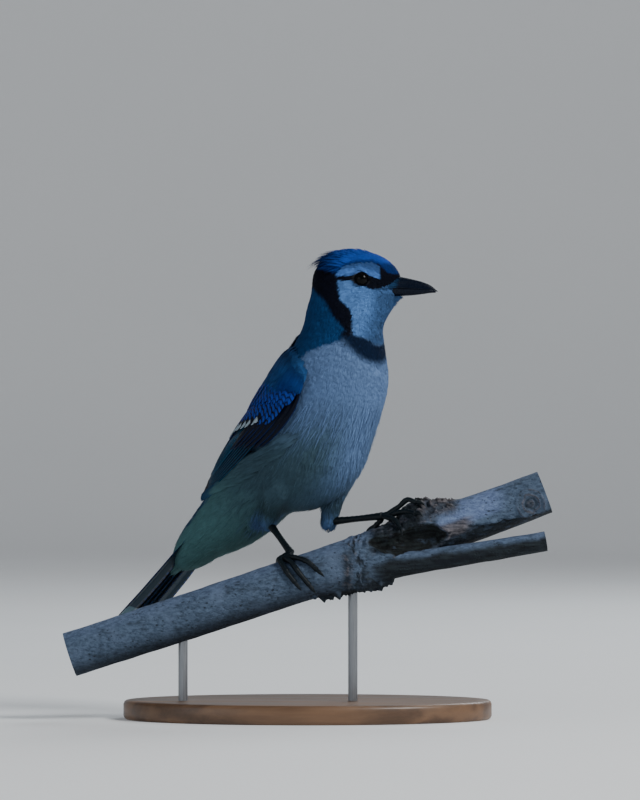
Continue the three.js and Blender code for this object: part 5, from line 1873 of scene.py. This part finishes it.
for side, leg in LEGS.items():
    bones = stations([2.5, 2, 1.7, 1.6, 1.65, 1.8, 2.1])
    shank_line = curve([leg["ankle"], mix(leg["ankle"], leg["sole"], 0.5), leg["sole"]])
    parts = [tube(shank_line, bones, 120, 24, bump=scutes(11, 0.22))]
    parts.append(ball(leg["sole"], 2.25, np.array([0.0, 0.0, 1.0]), 16, 24))
    for route in leg["toes"]:
        if len(route[0]) == 2:
            spots_on = np.array([on_branch(x, a, TOE_RADIUS + 0.2)[0] for x, a in route])
            outward_way = on_branch(*route[-1], 1)[1]
        else:
            spots_on = np.array(route, float)
            outward_way = UP
        line = curve([leg["sole"], *spots_on])
        pads = stations([1.3, 1, 1.15, 0.9, 1.1, 0.88, 0.98])
        parts.append(tube(line, lambda t: TOE_RADIUS * pads(t), 90, 20, bump=scutes(13, 0.16)))
        way = unit(spots_on[-1] - spots_on[-2])
        hook = curve([
            spots_on[-1] - way,
            spots_on[-1] + way * 1.8 + outward_way * 0.7,
            spots_on[-1] + way * 3.9 + outward_way * 0.6,
            spots_on[-1] + way * 5.6 - outward_way * 0.7,
        ])
        parts.append(tube(hook, stations([1.1, 1.05, 0.7, 0.12]), 30, 16, wide=0.8))
    foot_points, foot_faces = join_parts(parts)
    foot = new_piece(f"foot_{side}", foot_points, foot_faces, leg_paint, "leg_skin")
    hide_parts(f"leg_{side}_foot")
print("toes:", sum(len(leg["toes"]) for leg in LEGS.values()))

# %% [markdown]
# ## Stand
# A museum stand: an oval base of oiled walnut with a softened edge, and two brushed steel rods whose tops
# are cut to the underside of the branch.

# %% Stand
BASE = {"length": 196, "width": 128, "sides": 180}
PROFILE_OUT = np.array([20, 60, 90, 96.5, 97.4, 98, 98, 98, 97.4, 96.5, 90, 60, 20])  # along the length
PROFILE_UP = [0, 0, 0, 0, 0.6, 2, 5, 8, 9.4, 10, 10, 10, 10]
angle = np.linspace(0, 2 * np.pi, BASE["sides"], endpoint=False)
rim = []
for wide, z in zip(PROFILE_OUT, PROFILE_UP):
    inset = wide - BASE["length"] / 2
    deep = (BASE["width"] / 2 + inset) if inset > -30 else (BASE["width"] / 2) * wide / (BASE["length"] / 2)
    rim.append(np.column_stack([wide * np.cos(angle), deep * np.sin(angle), 0 * angle + z]))
rim = np.vstack(rim) - BRANCH_SHIFT
hubs = np.array([[0, 0, PROFILE_UP[0]], [0, 0, PROFILE_UP[-1]]]) - BRANCH_SHIFT
base_points, base_faces = capped(rim, BASE["sides"], hubs)
walnut = Finish("walnut", Specular_IOR_Level=0.4, Coat_Weight=0.2, Coat_Roughness=0.25)
rings = walnut.noise(0.03, 3, at=walnut.place((0.12, 1, 1)))
pores = walnut.noise(0.0012, 4, at=walnut.place((0.06, 1, 1))) * 0.5
lines = ((rings * 26).math("SINE") * 0.5 + 0.5) * 0.7 + pores
walnut_colour = walnut.blend(lines, (0.055, 0.028, 0.015), (0.175, 0.095, 0.050))
walnut_paint = walnut.paint(walnut_colour, roughness=lines * 0.15 + 0.36, height=lines, depth=0.00012)
base = new_piece("walnut_base", base_points, base_faces, walnut_paint, "base_wood")
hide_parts("stand_base")

steel = Finish("brushed_steel", Metallic=1.0)
brushing = steel.noise(0.0006, 3, at=steel.place((1, 1, 0.05)))
steel_colour = steel.blend(brushing, (0.20, 0.21, 0.225), (0.36, 0.37, 0.39))
steel_paint = steel.paint(steel_colour, roughness=brushing * 0.2 + 0.28, height=brushing, depth=0.00003)
for side in ("left", "right"):
    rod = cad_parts[f"stand_rod_{side}"]
    for index in range(len(rod.material_slots)):
        rod.material_slots[index].material = steel_paint
print("stand dressed")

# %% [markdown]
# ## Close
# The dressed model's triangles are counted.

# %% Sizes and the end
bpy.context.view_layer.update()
meshes = [piece.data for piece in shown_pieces() if piece.type == "MESH"]
print("triangles:", sum(len(face.vertices) - 2 for mesh in meshes for face in mesh.polygons))
